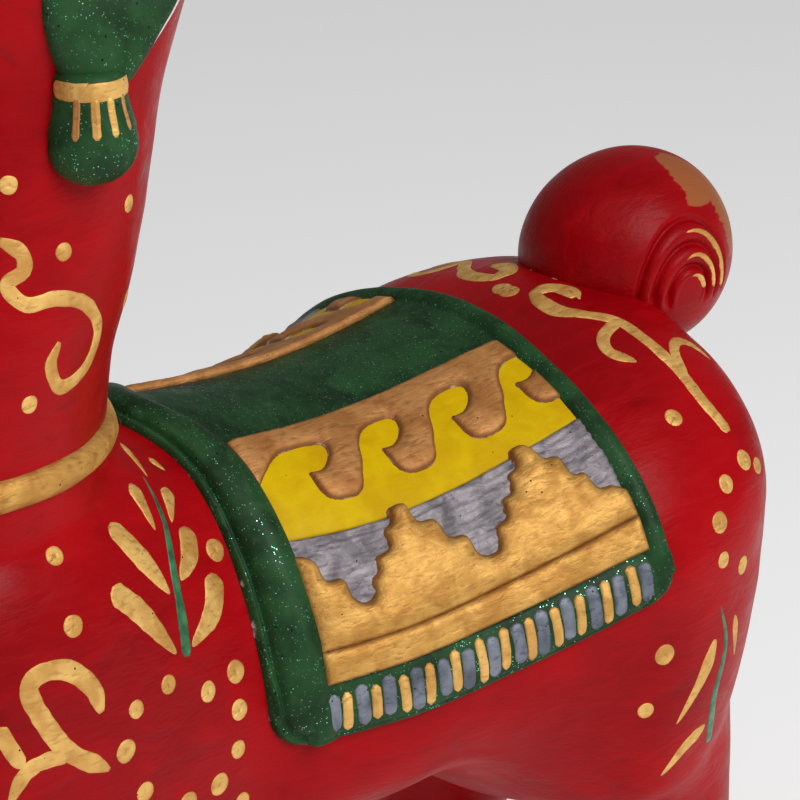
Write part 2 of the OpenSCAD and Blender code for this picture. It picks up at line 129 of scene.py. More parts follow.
def fair(table, steps, closed, along=(0, 2)):
    """Smooth rows through the stations of a loft, spaced by the columns along.

    A closed end stops just short of its pole.
    """
    rows = np.array(table, float)
    tangents = slopes(rows, closed, along)
    n = len(rows) - 1

    def between(i, t):
        h = step_size(rows[i], rows[i + 1], along)
        t2, t3 = t * t, t * t * t
        return (rows[i] * (2 * t3 - 3 * t2 + 1) + tangents[i] * h * (t3 - 2 * t2 + t)
                + rows[i + 1] * (3 * t2 - 2 * t3) + tangents[i + 1] * h * (t3 - t2))

    pole = 0.04
    out = [between(0, pole) if closed else rows[0]]
    out += [between(k // steps, (k % steps) / steps) for k in range(1, n * steps)]
    out.append(between(n - 1, 1 - pole) if closed else rows[n])
    return np.array(out)


def section(row, phi, off=0.0, floor_z=LEG_JOINT):
    """Point of a section at an angle from the top in degrees, moved out by off."""
    c, s = np.cos(np.radians(phi)), np.sin(np.radians(phi))
    h = np.where(c < 0, row[..., 4], row[..., 3])
    e = 2 / np.where(c < 0, UNDER_POWER, row[..., 5])
    y = row[..., 2] * np.sign(s) * np.abs(s) ** e
    z = h * np.sign(c) * np.abs(c) ** e
    n = np.stack([s / row[..., 2], c / h], -1)
    n = n / np.linalg.norm(n, axis=-1, keepdims=True)
    z = np.maximum(row[..., 1] + z + off * n[..., 1], floor_z)
    return np.stack(np.broadcast_arrays(row[..., 0], y + off * n[..., 0], z), -1)


BODY_ROWS = fair(TORSO, 10, True)


def body_row(x):
    """Row of the torso's table at x."""
    return np.stack([np.interp(x, BODY_ROWS[:, 0], BODY_ROWS[:, k]) for k in range(6)], -1)


def on_body(x, phi, off=0.0):
    """Point off mm outside the torso at x and phi degrees from the spine, positive to the left."""
    x, phi = np.broadcast_arrays(np.asarray(x, float), np.asarray(phi, float))
    return section(body_row(x), phi, off)


def line_phi(x, name):
    """Angle from the spine of one of the cloth's lines at x."""
    rear, front, bow = LINES[name]
    t = np.clip((x - CLOTH_X[0]) / (CLOTH_X[1] - CLOTH_X[0]), 0, 1)
    return rear + (front - rear) * t + 4 * bow * t * (1 - t)


# ---- mesh helpers ----

def rough(p, size, seed=0.0):
    """Seeded noise from -1 to 1 with features of about size mm at each point."""
    q = np.asarray(p, float) / size + seed * 7.3
    flat = q.reshape(-1, 3)
    return np.array([noise.noise(Vector(v)) for v in flat]).reshape(q.shape[:-1])


def circle(count):
    """Evenly spaced angles once round."""
    return np.linspace(0, 2 * math.pi, count, endpoint=False)


def sided(place, side):
    """A place given for the left, on the left for side 1 and on the right for side -1."""
    return np.array(place) * np.array([1, side, 1])


def new_object(name, points, faces, material, attributes=()):
    mesh = bpy.data.meshes.new(name)
    mesh.from_pydata((np.asarray(points, float) * MM).tolist(), [], [list(f) for f in faces])
    mesh.polygons.foreach_set("use_smooth", [True] * len(mesh.polygons))
    for key, values in dict(attributes).items():
        layer = mesh.attributes.new(key, "FLOAT", "POINT")
        layer.data.foreach_set("value", np.asarray(values, np.float32))
    mesh.update()
    obj = bpy.data.objects.new(name, mesh)
    bpy.context.scene.collection.objects.link(obj)
    if material:
        mesh.materials.append(material)
    return obj


def piece(obj, slot, *nodes):
    """Attaches a visible piece to the root body and hides the CAD nodes it stands for; the finish it takes,
    slot, is not used.
    """
    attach(obj, "root")
    if nodes:
        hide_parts(*nodes)
    return obj


def skin(rings):
    """Points and faces of a closed skin over rings of equal length."""
    m, n = len(rings), len(rings[0])
    points = np.concatenate(rings)
    faces = [
        (i * n + j, i * n + (j + 1) % n, (i + 1) * n + (j + 1) % n, (i + 1) * n + j)
        for i in range(m - 1) for j in range(n)
    ]
    faces.append(tuple(range(n - 1, -1, -1)))
    faces.append(tuple((m - 1) * n + j for j in range(n)))
    return points, faces


def grid_faces(m, n, keep=None):
    """Quads of an m by n grid of points; keep says which cells it has."""
    faces = []
    for i in range(m - 1):
        for j in range(n - 1):
            if keep is None or keep[i, j]:
                a = i * n + j
                faces.append((a, a + n, a + n + 1, a + 1))
    return faces


def closed_sheet(top, bottom, keep=None):
    """Points and faces of a sheet between two grids of points; keep says which cells it has."""
    m, n = top.shape[:2]
    upper = grid_faces(m, n, keep)
    edges = dict.fromkeys((a, b) for f in upper for a, b in zip(f, f[1:] + f[:1]))
    k = m * n
    faces = list(upper) + [tuple(v + k for v in reversed(f)) for f in upper]
    faces += [(b, a, a + k, b + k) for a, b in edges if (b, a) not in edges]
    points = np.concatenate([top.reshape(-1, 3), bottom.reshape(-1, 3)])
    used = sorted({v for f in faces for v in f})
    index = {v: i for i, v in enumerate(used)}
    return points[used], [tuple(index[v] for v in f) for f in faces], used


def on_sheet(values, used):
    """Values given per grid point, for the points that closed_sheet kept on both faces."""
    return np.concatenate([values.ravel()] * 2)[used]


def tree_of(points, faces):
    return BVHTree.FromPolygons([Vector(p) for p in points], faces)


def joined(parts):
    """One list of points and faces from several."""
    points, faces, start = [], [], 0
    for p, f in parts:
        points.append(np.asarray(p))
        faces += [tuple(v + start for v in g) for g in f]
        start += len(p)
    return np.concatenate(points), faces


# ---- materials ----

class Shader:
    """Builds one node material; every method returns an output socket, sizes are in mm."""

    def __init__(self, name, **fixed):
        self.material = bpy.data.materials.new(name)
        self.material.use_nodes = True
        self.tree = self.material.node_tree
        self.surface = self.tree.nodes["Principled BSDF"]
        self.place = self.tree.nodes.new("ShaderNodeTexCoord").outputs["Object"]
        for key, value in fixed.items():
            self.surface.inputs[key.replace("_", " ")].default_value = value

    def fill(self, made, values):
        """Links or sets the inputs of a node, named or numbered."""
        for key, value in values:
            if isinstance(value, bpy.types.NodeSocket):
                self.tree.links.new(value, made.inputs[key])
            else:
                made.inputs[key].default_value = value

    def node(self, kind, **inputs):
        made = self.tree.nodes.new(kind)
        self.fill(made, [(key.replace("_", " "), value) for key, value in inputs.items()])
        return made

    def stretched(self, scale):
        """Coordinates scaled per axis, for brush marks that run along one of them."""
        return self.node("ShaderNodeMapping", Vector=self.place, Scale=scale).outputs[0]

    def noise(self, size, detail=3.0, place=None, distortion=0.0):
        """Noise with features of about that size."""
        return self.node("ShaderNodeTexNoise", Vector=place or self.place, Scale=1 / (size * MM),
                         Detail=detail, Distortion=distortion).outputs["Fac"]

    def band(self, value, low, high, out_low=0.0, out_high=1.0):
        """A soft step: out_low below low, out_high above high."""
        made = self.node("ShaderNodeMapRange", Value=value, From_Min=low, From_Max=high,
                         To_Min=out_low, To_Max=out_high)
        made.interpolation_type = "SMOOTHSTEP"
        return made.outputs["Result"]

    def math(self, operation, a, b):
        made = self.tree.nodes.new("ShaderNodeMath")
        made.operation = operation
        self.fill(made, enumerate((a, b)))
        return made.outputs[0]

    def mix(self, share, a, b):
        """Colour a turning into colour b; the numbers are the node's colour sockets."""
        made = self.tree.nodes.new("ShaderNodeMix")
        made.data_type = "RGBA"
        self.fill(made, ((0, share), (6, a), (7, b)))
        return made.outputs[2]

    def flecks(self, size, share, radius):
        """Mask of small round specks: one cell in about 1 / share holds a speck."""
        cells = self.node("ShaderNodeTexVoronoi", Vector=self.place, Scale=1 / (size * MM))
        pick = self.node("ShaderNodeSeparateColor", Color=cells.outputs["Color"]).outputs[0]
        chosen = self.math("GREATER_THAN", pick, 1 - share)
        near = self.math("LESS_THAN", cells.outputs["Distance"], radius)
        return self.math("MULTIPLY", chosen, near), cells

    def attribute(self, name):
        made = self.tree.nodes.new("ShaderNodeAttribute")
        made.attribute_name = name
        return made.outputs["Fac"]

    def bump(self, height, depth, strength=1.0, below=None):
        under = {"Normal": below} if below else {}
        return self.node("ShaderNodeBump", Height=height, Distance=depth * MM, Strength=strength,
                         **under).outputs[0]

    def finish(self, colour, roughness=None, normal=None, metallic=None):
        sockets = {"Base Color": colour, "Roughness": roughness, "Normal": normal, "Metallic": metallic}
        self.fill(self.surface, [pair for pair in sockets.items() if pair[1] is not None])
        return self.material


def rgb(r, g, b):
    """Colour from display values 0 to 255, as linear light."""
    def linear(v):
        v /= 255.0
        return v / 12.92 if v <= 0.04045 else ((v + 0.055) / 1.055) ** 2.4
    return (linear(r), linear(g), linear(b), 1.0)


GESSO = rgb(232, 226, 222)


def red_paint():
    """Brushed red with painted shade in the hollows of the brush marks and painted highlight on their ridges,
    tiny chips down to the gesso, and the gold rubbed on the tail.
    """
    s = Shader("red_paint", Coat_Weight=0.035, Coat_Roughness=0.28, Specular_IOR_Level=0.09)
    broad = s.noise(26, 4)
    strokes = s.noise(3.2, 5, s.stretched((0.35, 1.0, 1.0)), 0.6)
    fine = s.noise(0.55, 4, s.stretched((0.25, 1.0, 1.0)))
    colour = s.mix(s.band(broad, 0.3, 0.72), rgb(142, 1, 8), rgb(170, 2, 12))
    # Painted highlight on the high ridges of the brush marks, then painted shade in their low hollows; the
    # same noise is the bump height
    colour = s.mix(s.band(strokes, 0.45, 0.8, 0.0, 0.35), colour, rgb(188, 8, 16))
    colour = s.mix(s.band(strokes, 0.18, 0.42, 0.4, 0.0), colour, rgb(92, 1, 6))
    colour = s.mix(s.flecks(7, 0.05, 0.045)[0], colour, GESSO)
    ragged = s.math("ADD", s.attribute("rub"), s.noise(1.6, 7, s.stretched((0.3, 0.3, 1.8))))
    colour = s.mix(s.band(ragged, 1.1, 1.24, 0.0, 0.85), colour, rgb(160, 98, 56))
    roughness = s.band(strokes, 0.2, 0.8, 0.3, 0.5)
    normal = s.bump(strokes, 0.42, 0.6, s.bump(fine, 0.1, 0.8))
    return s.finish(colour, roughness, normal)


def green_paint():
    """Dark green with painted highlight on the ridges of the brush marks, near-black specks of painted shade
    for pits, glitter in patches, and gesso showing along worn edges.
    """
    s = Shader("green_glitter_paint", Coat_Weight=0.04, Coat_Roughness=0.35, Specular_IOR_Level=0.14)
    broad = s.noise(7, 5, None, 0.4)
    strokes = s.noise(1.6, 4, s.stretched((1.0, 0.45, 0.8)))
    colour = s.mix(s.band(broad, 0.3, 0.7), rgb(22, 48, 24), rgb(38, 78, 42))
    # Painted highlight: lighter green where the brush marks stand high in the bump
    colour = s.mix(s.band(strokes, 0.5, 0.8, 0, 0.4), colour, rgb(56, 98, 54))
    edge = s.math("MULTIPLY", s.band(s.attribute("edge"), 0.74, 0.94), s.band(s.noise(2.6, 5), 0.58, 0.72))
    colour = s.mix(edge, colour, GESSO)
    # Painted shade: near-black specks for small pits that the shape does not have
    pit_shade, _ = s.flecks(0.9, 0.12, 0.2)
    colour = s.mix(pit_shade, colour, rgb(8, 16, 10))
    flake, cells = s.flecks(0.26, 0.12, 0.34)
    patch = s.band(s.noise(9, 2), 0.36, 0.62, 0.25, 1.0)
    flake = s.math("MULTIPLY", flake, patch)
    tint = s.mix(s.math("GREATER_THAN", s.noise(0.8, 0), 0.52), rgb(60, 190, 130), rgb(170, 230, 205))
    colour = s.mix(flake, colour, tint)
    roughness = s.mix(flake, s.band(strokes, 0.2, 0.8, 0.38, 0.6), (0.16, 0.16, 0.16, 1))
    metallic = s.math("MULTIPLY", flake, 0.8)
    spread = s.node("ShaderNodeSeparateColor", Color=cells.outputs["Color"]).outputs[1]
    normal = s.bump(spread, 0.1, 0.35, s.bump(strokes, 0.12, 0.6))
    return s.finish(colour, roughness, normal, metallic)


def metal_paint(name, dark, light, groove_shade, shade, bristle, metallic, specks=0.05, rub=0.6):
    """Metallic craft paint: bristle marks of one size and stretch with painted shade in their grooves,
    mottled pigment, painted shade with darker paint along the edges, specks, worn edges.
    """
    s = Shader(name, Specular_IOR_Level=0.3)
    broad = s.noise(4.5, 5, None, 0.5)
    brushed = s.noise(bristle[0], 5, s.stretched(bristle[1]), 0.3)
    colour = s.mix(s.band(broad, 0.32, 0.68), dark, light)
    # Painted shade in the low grooves of the bristle marks, which are also the bump height
    colour = s.mix(s.band(brushed, 0.3, 0.48, 0.55, 0.0), colour, groove_shade)
    # Painted shade near the edges, with darker paint at the foot of the relief
    colour = s.mix(s.band(s.attribute("edge"), 0.1, 0.8, 0.0, 0.75), colour, shade)
    patches = s.band(s.noise(1.5, 5), 0.5, 0.66, 0.0, rub)
    rear_edge_highlight = s.math("MULTIPLY", s.band(s.attribute("edge"), 0.82, 0.92), patches)
    colour = s.mix(rear_edge_highlight, colour, GESSO)
    black, _ = s.flecks(0.7, specks, 0.22)
    colour = s.mix(black, colour, rgb(40, 24, 14))
    roughness = s.band(brushed, 0.25, 0.75, 0.44, 0.66)
    grain = s.noise(0.3, 3)
    normal = s.bump(brushed, 0.24, 0.85, s.bump(grain, 0.06, 0.6))
    shine = s.band(broad, 0.2, 0.8, metallic - 0.12, metallic)
    return s.finish(colour, roughness, normal, shine)


def yellow_paint():
    s = Shader("yellow_paint", Coat_Weight=0.03, Coat_Roughness=0.3, Specular_IOR_Level=0.1)
    broad = s.noise(5, 5, None, 0.5)
    strokes = s.noise(0.8, 4, s.stretched((0.3, 1.0, 1.0)))
    colour = s.mix(s.band(broad, 0.3, 0.7), rgb(206, 164, 0), rgb(220, 184, 0))
    colour = s.mix(s.flecks(0.8, 0.03, 0.2)[0], colour, rgb(120, 84, 8))
    # Painted shade along the ground's edges, where it meets the raised border
    colour = s.mix(s.math("MULTIPLY", s.attribute("edge"), 0.5), colour, rgb(150, 110, 10))
    return s.finish(colour, s.band(strokes, 0.2, 0.8, 0.34, 0.55), s.bump(strokes, 0.12, 0.6))


def plain_paint(name, dark, light, rough_low=0.25, rough_high=0.45):
    s = Shader(name)
    broad = s.noise(2.0, 4)
    strokes = s.noise(0.5, 3, s.stretched((0.4, 1.0, 1.0)))
    colour = s.mix(s.band(broad, 0.3, 0.7), dark, light)
    return s.finish(colour, s.band(strokes, 0.2, 0.8, rough_low, rough_high), s.bump(strokes, 0.06, 0.6))


def bare_wood():
    s = Shader("bare_wood")
    grain = s.noise(1.2, 6, s.stretched((1.0, 1.0, 0.08)), 0.8)
    colour = s.mix(s.band(grain, 0.3, 0.7), rgb(186, 148, 98), rgb(222, 192, 144))
    return s.finish(colour, s.band(grain, 0.2, 0.8, 0.5, 0.7), s.bump(grain, 0.1, 0.5))


def felt_cloth():
    s = Shader("felt", Sheen_Weight=0.4)
    fibre = s.noise(0.35, 6, None, 1.5)
    colour = s.mix(s.band(fibre, 0.3, 0.7), rgb(38, 38, 36), rgb(78, 76, 72))
    return s.finish(colour, s.band(fibre, 0.2, 0.8, 0.85, 0.98), s.bump(fibre, 0.25, 0.9))


ALONG_X = (0.3, 1.0, 1.0)
RED = red_paint()
GREEN = green_paint()
GOLD = metal_paint("gold_paint", rgb(186, 132, 60), rgb(220, 170, 90), rgb(158, 104, 46), rgb(118, 72, 34),
                   (0.7, ALONG_X), 0.58, 0.012, 0.4)
BRONZE = metal_paint("bronze_paint", rgb(178, 118, 62), rgb(206, 148, 88), rgb(150, 94, 48), rgb(120, 72, 36),
                     (0.8, ALONG_X), 0.46, 0.015, 0.3)
SILVER = metal_paint("silver_paint", rgb(112, 106, 110), rgb(158, 150, 154), rgb(84, 78, 88), rgb(78, 70, 72),
                     (0.9, (0.6, 1.0, 1.0)), 0.5, 0.02, 0.3)
# Lighter copy of the gold for the painted strokes: painted highlight, brighter than the relief gold under the
# same lamps
GOLD_BRUSH_WITH_PAINTED_HIGHLIGHT = metal_paint("gold_brush_paint_with_painted_highlight", rgb(204, 150, 76), rgb(240, 194, 112), rgb(178, 122, 58),
                         rgb(128, 78, 38), (0.7, ALONG_X), 0.5, 0.012, 0.4)
SILVER_BRUSH = metal_paint("silver_brush_paint", rgb(88, 94, 106), rgb(136, 142, 154), rgb(64, 68, 78),
                           rgb(64, 66, 74), (0.7, ALONG_X), 0.5, 0.05, 0.3)
YELLOW = yellow_paint()
STEM = plain_paint("stem_green", rgb(30, 84, 52), rgb(62, 128, 84))
WHITE = plain_paint("white_paint_and_painted_highlight", rgb(214, 206, 200), rgb(240, 236, 230), 0.5, 0.7)
DARK = plain_paint("dark_line", rgb(18, 8, 8), rgb(44, 20, 18))
WOOD = bare_wood()
FELT = felt_cloth()


# ---- carved body: one smooth blend of the blanks, cut apart at their joints ----

VOXEL = 0.95
# The head's underside is flattened this far below its joint, inside the neck
HEAD_FLOOR = HEAD_JOINT - 8


def turn_faces_out(mesh):
    fix = bmesh.new()
    fix.from_mesh(mesh)
    bmesh.ops.recalc_face_normals(fix, faces=fix.faces)
    fix.to_mesh(mesh)
    fix.free()


def body_blank():
    """One mesh around the torso, the head, the neck and the legs, before any carving."""
    angles = np.arange(0, 360, 5.0)
    t = np.radians(angles)
    parts = [
        skin([section(r, angles) for r in BODY_ROWS]),
        skin([section(r, angles, 0.0, HEAD_FLOOR) for r in fair(HEAD, 6, True)]),
    ]
    shaft = []
    for cx, cz, tilt, rx, ry in fair(NECK, 5, False, (0, 1)):
        k = math.radians(tilt)
        shaft.append(np.stack([cx + rx * np.cos(t) * math.cos(k), ry * np.sin(t),
                               cz - rx * np.cos(t) * math.sin(k)], -1))
    parts.append(skin(shaft))
    for table in (FRONT_LEG, REAR_LEG):
        for side in (1, -1):
            rings = [np.stack([cx + rx * np.cos(t), side * cy + ry * np.sin(t), z + 0 * t], -1)
                     for z, cx, cy, rx, ry in leg_rings(table)]
            parts.append(skin(rings))
    points, faces = joined(parts)
    obj = new_object("body_blank", points, faces, None)
    turn_faces_out(obj.data)
    remesh = obj.modifiers.new("remesh", "REMESH")
    remesh.mode = "VOXEL"
    remesh.voxel_size = VOXEL * MM
    mesh = bpy.data.meshes.new_from_object(obj.evaluated_get(bpy.context.evaluated_depsgraph_get()))
    bpy.data.objects.remove(obj)
    return mesh


def leg_rings(table):
    """Leg rings from top to bottom, evenly spaced between the stations."""
    rows = np.array(table, float)
    heights = np.linspace(rows[0, 0], rows[-1, 0], 40)
    spread = [np.interp(heights, rows[::-1, 0], rows[::-1, k]) for k in range(1, 5)]
    return np.stack([heights] + spread, -1)


def smooth_points(points, edges, weight, times):
    """Laplace smoothing with a weight per point."""
    count = np.bincount(edges.ravel(), minlength=len(points)).astype(float)[:, None]
    for _ in range(times):
        total = np.zeros_like(points)
        for k in range(3):
            total[:, k] = (np.bincount(edges[:, 0], points[edges[:, 1], k], len(points))
                           + np.bincount(edges[:, 1], points[edges[:, 0], k], len(points)))
        points = points + weight[:, None] * (total / np.maximum(count, 1) - points)
    return points


def carve():
    """Points, faces and normals of the whole carved figure in mm."""
    mesh = body_blank()
    n = len(mesh.vertices)
    points = np.empty(n * 3)
    mesh.vertices.foreach_get("co", points)
    points = points.reshape(-1, 3) / MM
    edges = np.empty(len(mesh.edges) * 2, int)
    mesh.edges.foreach_get("vertices", edges)
    edges = edges.reshape(-1, 2)
    z, x, y = points[:, 2], points[:, 0], points[:, 1]
    points = smooth_points(points, edges, np.full(n, 0.5), 5)
    # How much the blends between the blanks are eased, by place
    legs = np.clip(1 - np.abs(z - 66) / 16, 0, 1) * (z > 40)
    nape = np.clip(1 - np.abs(z - 143) / 6, 0, 1) * (np.hypot(x - COLLAR[0], y) < 46) * (x > 20)
    jaw = np.clip(1 - np.abs(z - 209) / 10, 0, 1) * (x > 10)
    points = smooth_points(points, edges, 0.55 * legs, 60)
    points = smooth_points(points, edges, 0.5 * np.maximum(nape, jaw), 14)
    mesh.vertices.foreach_set("co", (points * MM).ravel())
    mesh.update()
    normals = np.empty(n * 3)
    mesh.vertex_normals.foreach_get("vector", normals)
    depth = 0.32 * rough(points, 17, 1) + 0.14 * rough(points, 6.5, 2)
    points = points + depth[:, None] * normals.reshape(-1, 3)
    points[:, 2] = np.maximum(points[:, 2], SOLE)
    mesh.vertices.foreach_set("co", (points * MM).ravel())
    mesh.update()
    mesh.vertex_normals.foreach_get("vector", normals)
    faces = [tuple(p.vertices) for p in mesh.polygons]
    return mesh, points, faces, normals.reshape(-1, 3)


BODY_MESH, BODY_POINTS, BODY_FACES, BODY_NORMALS = carve()
BODY_TREE = tree_of(BODY_POINTS, BODY_FACES)


def cut_piece(name, planes, *nodes):
    """Part of the carved figure on the kept side of each plane (point, normal), closed at the cuts."""
    work = bmesh.new()
    work.from_mesh(BODY_MESH)
    layer = work.verts.layers.float_vector.new("carved")
    for v in work.verts:
        v[layer] = Vector(BODY_NORMALS[v.index])
    for point, normal in planes:
        bmesh.ops.bisect_plane(work, geom=work.verts[:] + work.edges[:] + work.faces[:], dist=1e-7,
                               plane_co=Vector(point) * MM, plane_no=Vector(normal), clear_inner=True)
    rim = [e for e in work.edges if e.is_boundary]
    bmesh.ops.holes_fill(work, edges=rim, sides=0)
    mesh = bpy.data.meshes.new(name)
    work.to_mesh(mesh)
    kept = [tuple(v[layer]) for v in work.verts]
    work.free()
    mesh.polygons.foreach_set("use_smooth", [True] * len(mesh.polygons))
    mesh.normals_split_custom_set_from_vertices(kept)
    mesh.attributes.remove(mesh.attributes["carved"])
    mesh.materials.append(RED)
    obj = bpy.data.objects.new(name, mesh)
    bpy.context.scene.collection.objects.link(obj)
    return piece(obj, "red_paint", *nodes)


UP, DOWN = (0, 0, 1), (0, 0, -1)
cut_piece("head_carved", [((0, 0, HEAD_JOINT), UP)], "head")
cut_piece("neck_carved", [((0, 0, COLLAR[2]), UP), ((0, 0, HEAD_JOINT), DOWN)], "neck")
cut_piece("torso_carved", [((0, 0, LEG_JOINT), UP), ((0, 0, COLLAR[2]), DOWN)], "torso")
for end, ahead in (("front", 1), ("rear", -1)):
    for side_name, side in (("left", 1), ("right", -1)):
        cut_piece(f"{end}_{side_name}_leg_carved",
                  [((0, 0, LEG_JOINT), DOWN), ((0, 0, 0), (ahead, 0, 0)), ((0, 0, 0), (0, side, 0))],
                  f"{end}_{side_name}_leg")


# ---- paint strokes: thin crowned ribbons and dots that hug a surface ----

STROKES = {}


def curve_through(route, step):
    """Points about step mm apart along the smooth curve through the route."""
    pts = np.array(route, float)
    pts = np.vstack([2 * pts[0] - pts[1], pts, 2 * pts[-1] - pts[-2]])
    out = []
    for i in range(1, len(pts) - 2):
        a, b, c, d = pts[i - 1:i + 3]
        n = max(2, int(np.linalg.norm(c - b) / step))
        for k in range(n):
            t = k / n
            out.append(0.5 * (2 * b + (c - a) * t + (2 * a - 5 * b + 4 * c - d) * t * t
                              + (3 * b - a - 3 * c + d) * t ** 3))
    out.append(pts[-2])
    return np.array(out)


def stick(tree, p):
    near, normal, _, _ = tree.find_nearest(Vector(p))
    return np.array(near), np.array(normal)


# Places across a stroke, and how deep its edge and its back lie in the surface
ACROSS = np.array([-1, -0.88, -0.65, -0.35, 0, 0.35, 0.65, 0.88, 1.0])
EDGE_SINK = 0.08
BACK_SINK = 0.3


def lay(group, top, bottom):
    """Keeps one closed patch of paint for the object that its group becomes."""
    points, faces, _ = closed_sheet(np.array(top), np.array(bottom))
    STROKES.setdefault(group, []).append((points, faces))


def stroke(group, tree, route, width, head=0.25, tail=0.45, crown=0.13):
    """One brush stroke: head and tail are the shares of its length over which it swells and thins."""
    centre = curve_through(route, 0.5)
    seed = random.random() * 50
    length = np.concatenate([[0], np.cumsum(np.linalg.norm(np.diff(centre, axis=0), axis=1))])
    t = length / length[-1]
    swell = np.clip((t + 0.01) / head, 0, 1) ** 0.5 * np.clip((1.01 - t) / tail, 0, 1) ** 0.6
    half = 0.5 * width * swell
    top, bottom = [], []
    for i, p in enumerate(centre):
        tangent = centre[min(i + 1, len(centre) - 1)] - centre[max(i - 1, 0)]
        base, normal = stick(tree, p)
        side = np.cross(normal, tangent)
        side /= max(np.linalg.norm(side), 1e-6)
        wobble = 1 + 0.12 * noise.noise(Vector((length[i] * 0.7, seed, 0)))
        row_top, row_bottom = [], []
        for q in ACROSS:
            at, out = stick(tree, base + side * q * half[i] * wobble)
            ridge = 0.09 * noise.noise(Vector((q * 4.5, seed, length[i] * 0.12)))
            lift = -EDGE_SINK
            if abs(q) < 0.95:
                lift = (crown * (1 - abs(q) ** 2.4) ** 0.6 + ridge) * min(1, 1.4 * swell[i])
            row_top.append(at + out * lift)
            row_bottom.append(at - out * BACK_SINK)
        top.append(row_top)
        bottom.append(row_bottom)
    lay(group, top, bottom)


def dot(group, tree, p, radius, crown=0.42, squash=1.0):
    """One dab of paint with an uneven outline."""
    base, normal = stick(tree, p)
    axis = np.cross(normal, (0.3, 0.2, 0.93))
    axis /= np.linalg.norm(axis)
    other = np.cross(normal, axis)
    seed = random.random() * 50
    top, bottom = [], []
    for r in (0.02, 0.4, 0.7, 0.9, 1.0):
        row_top, row_bottom = [], []
        for k in range(19):
            a = 2 * math.pi * k / 18
            wide = radius * r * (1 + 0.09 * noise.noise(Vector((math.cos(a), math.sin(a), seed))))
            at, out = stick(tree, base + wide * (math.cos(a) * axis + squash * math.sin(a) * other))
            lift = crown * math.sqrt(max(0, 1 - r ** 2.4)) - (EDGE_SINK if r > 0.95 else 0)
            row_top.append(at + out * lift)
            row_bottom.append(at - out * BACK_SINK)
        top.append(row_top)
        bottom.append(row_bottom)
    lay(group, top, bottom)


def both(points):
    """The same points on the animal's left and on its right."""
    points = np.atleast_2d(np.asarray(points, float))
    return [points, points * np.array([1, -1, 1])]


def body_stroke(group, places, width, **shape):
    for route in both([on_body(x, phi, 0.5) for x, phi in places]):
        stroke(group, BODY_TREE, route, width, **shape)


NECK_HALF = (28, 27)


def neck_place(turn, z):
    """Place on the neck, turn in degrees from the nose toward the left side."""
    rings = np.array(NECK)
    cx = np.interp(z, rings[:, 1], rings[:, 0])
    a = math.radians(turn)
    return np.array([cx + NECK_HALF[0] * math.cos(a), NECK_HALF[1] * math.sin(a), z])


def neck_stroke(group, places, width, **shape):
    for route in both([neck_place(turn, z) for turn, z in places]):
        stroke(group, BODY_TREE, route, width, **shape)


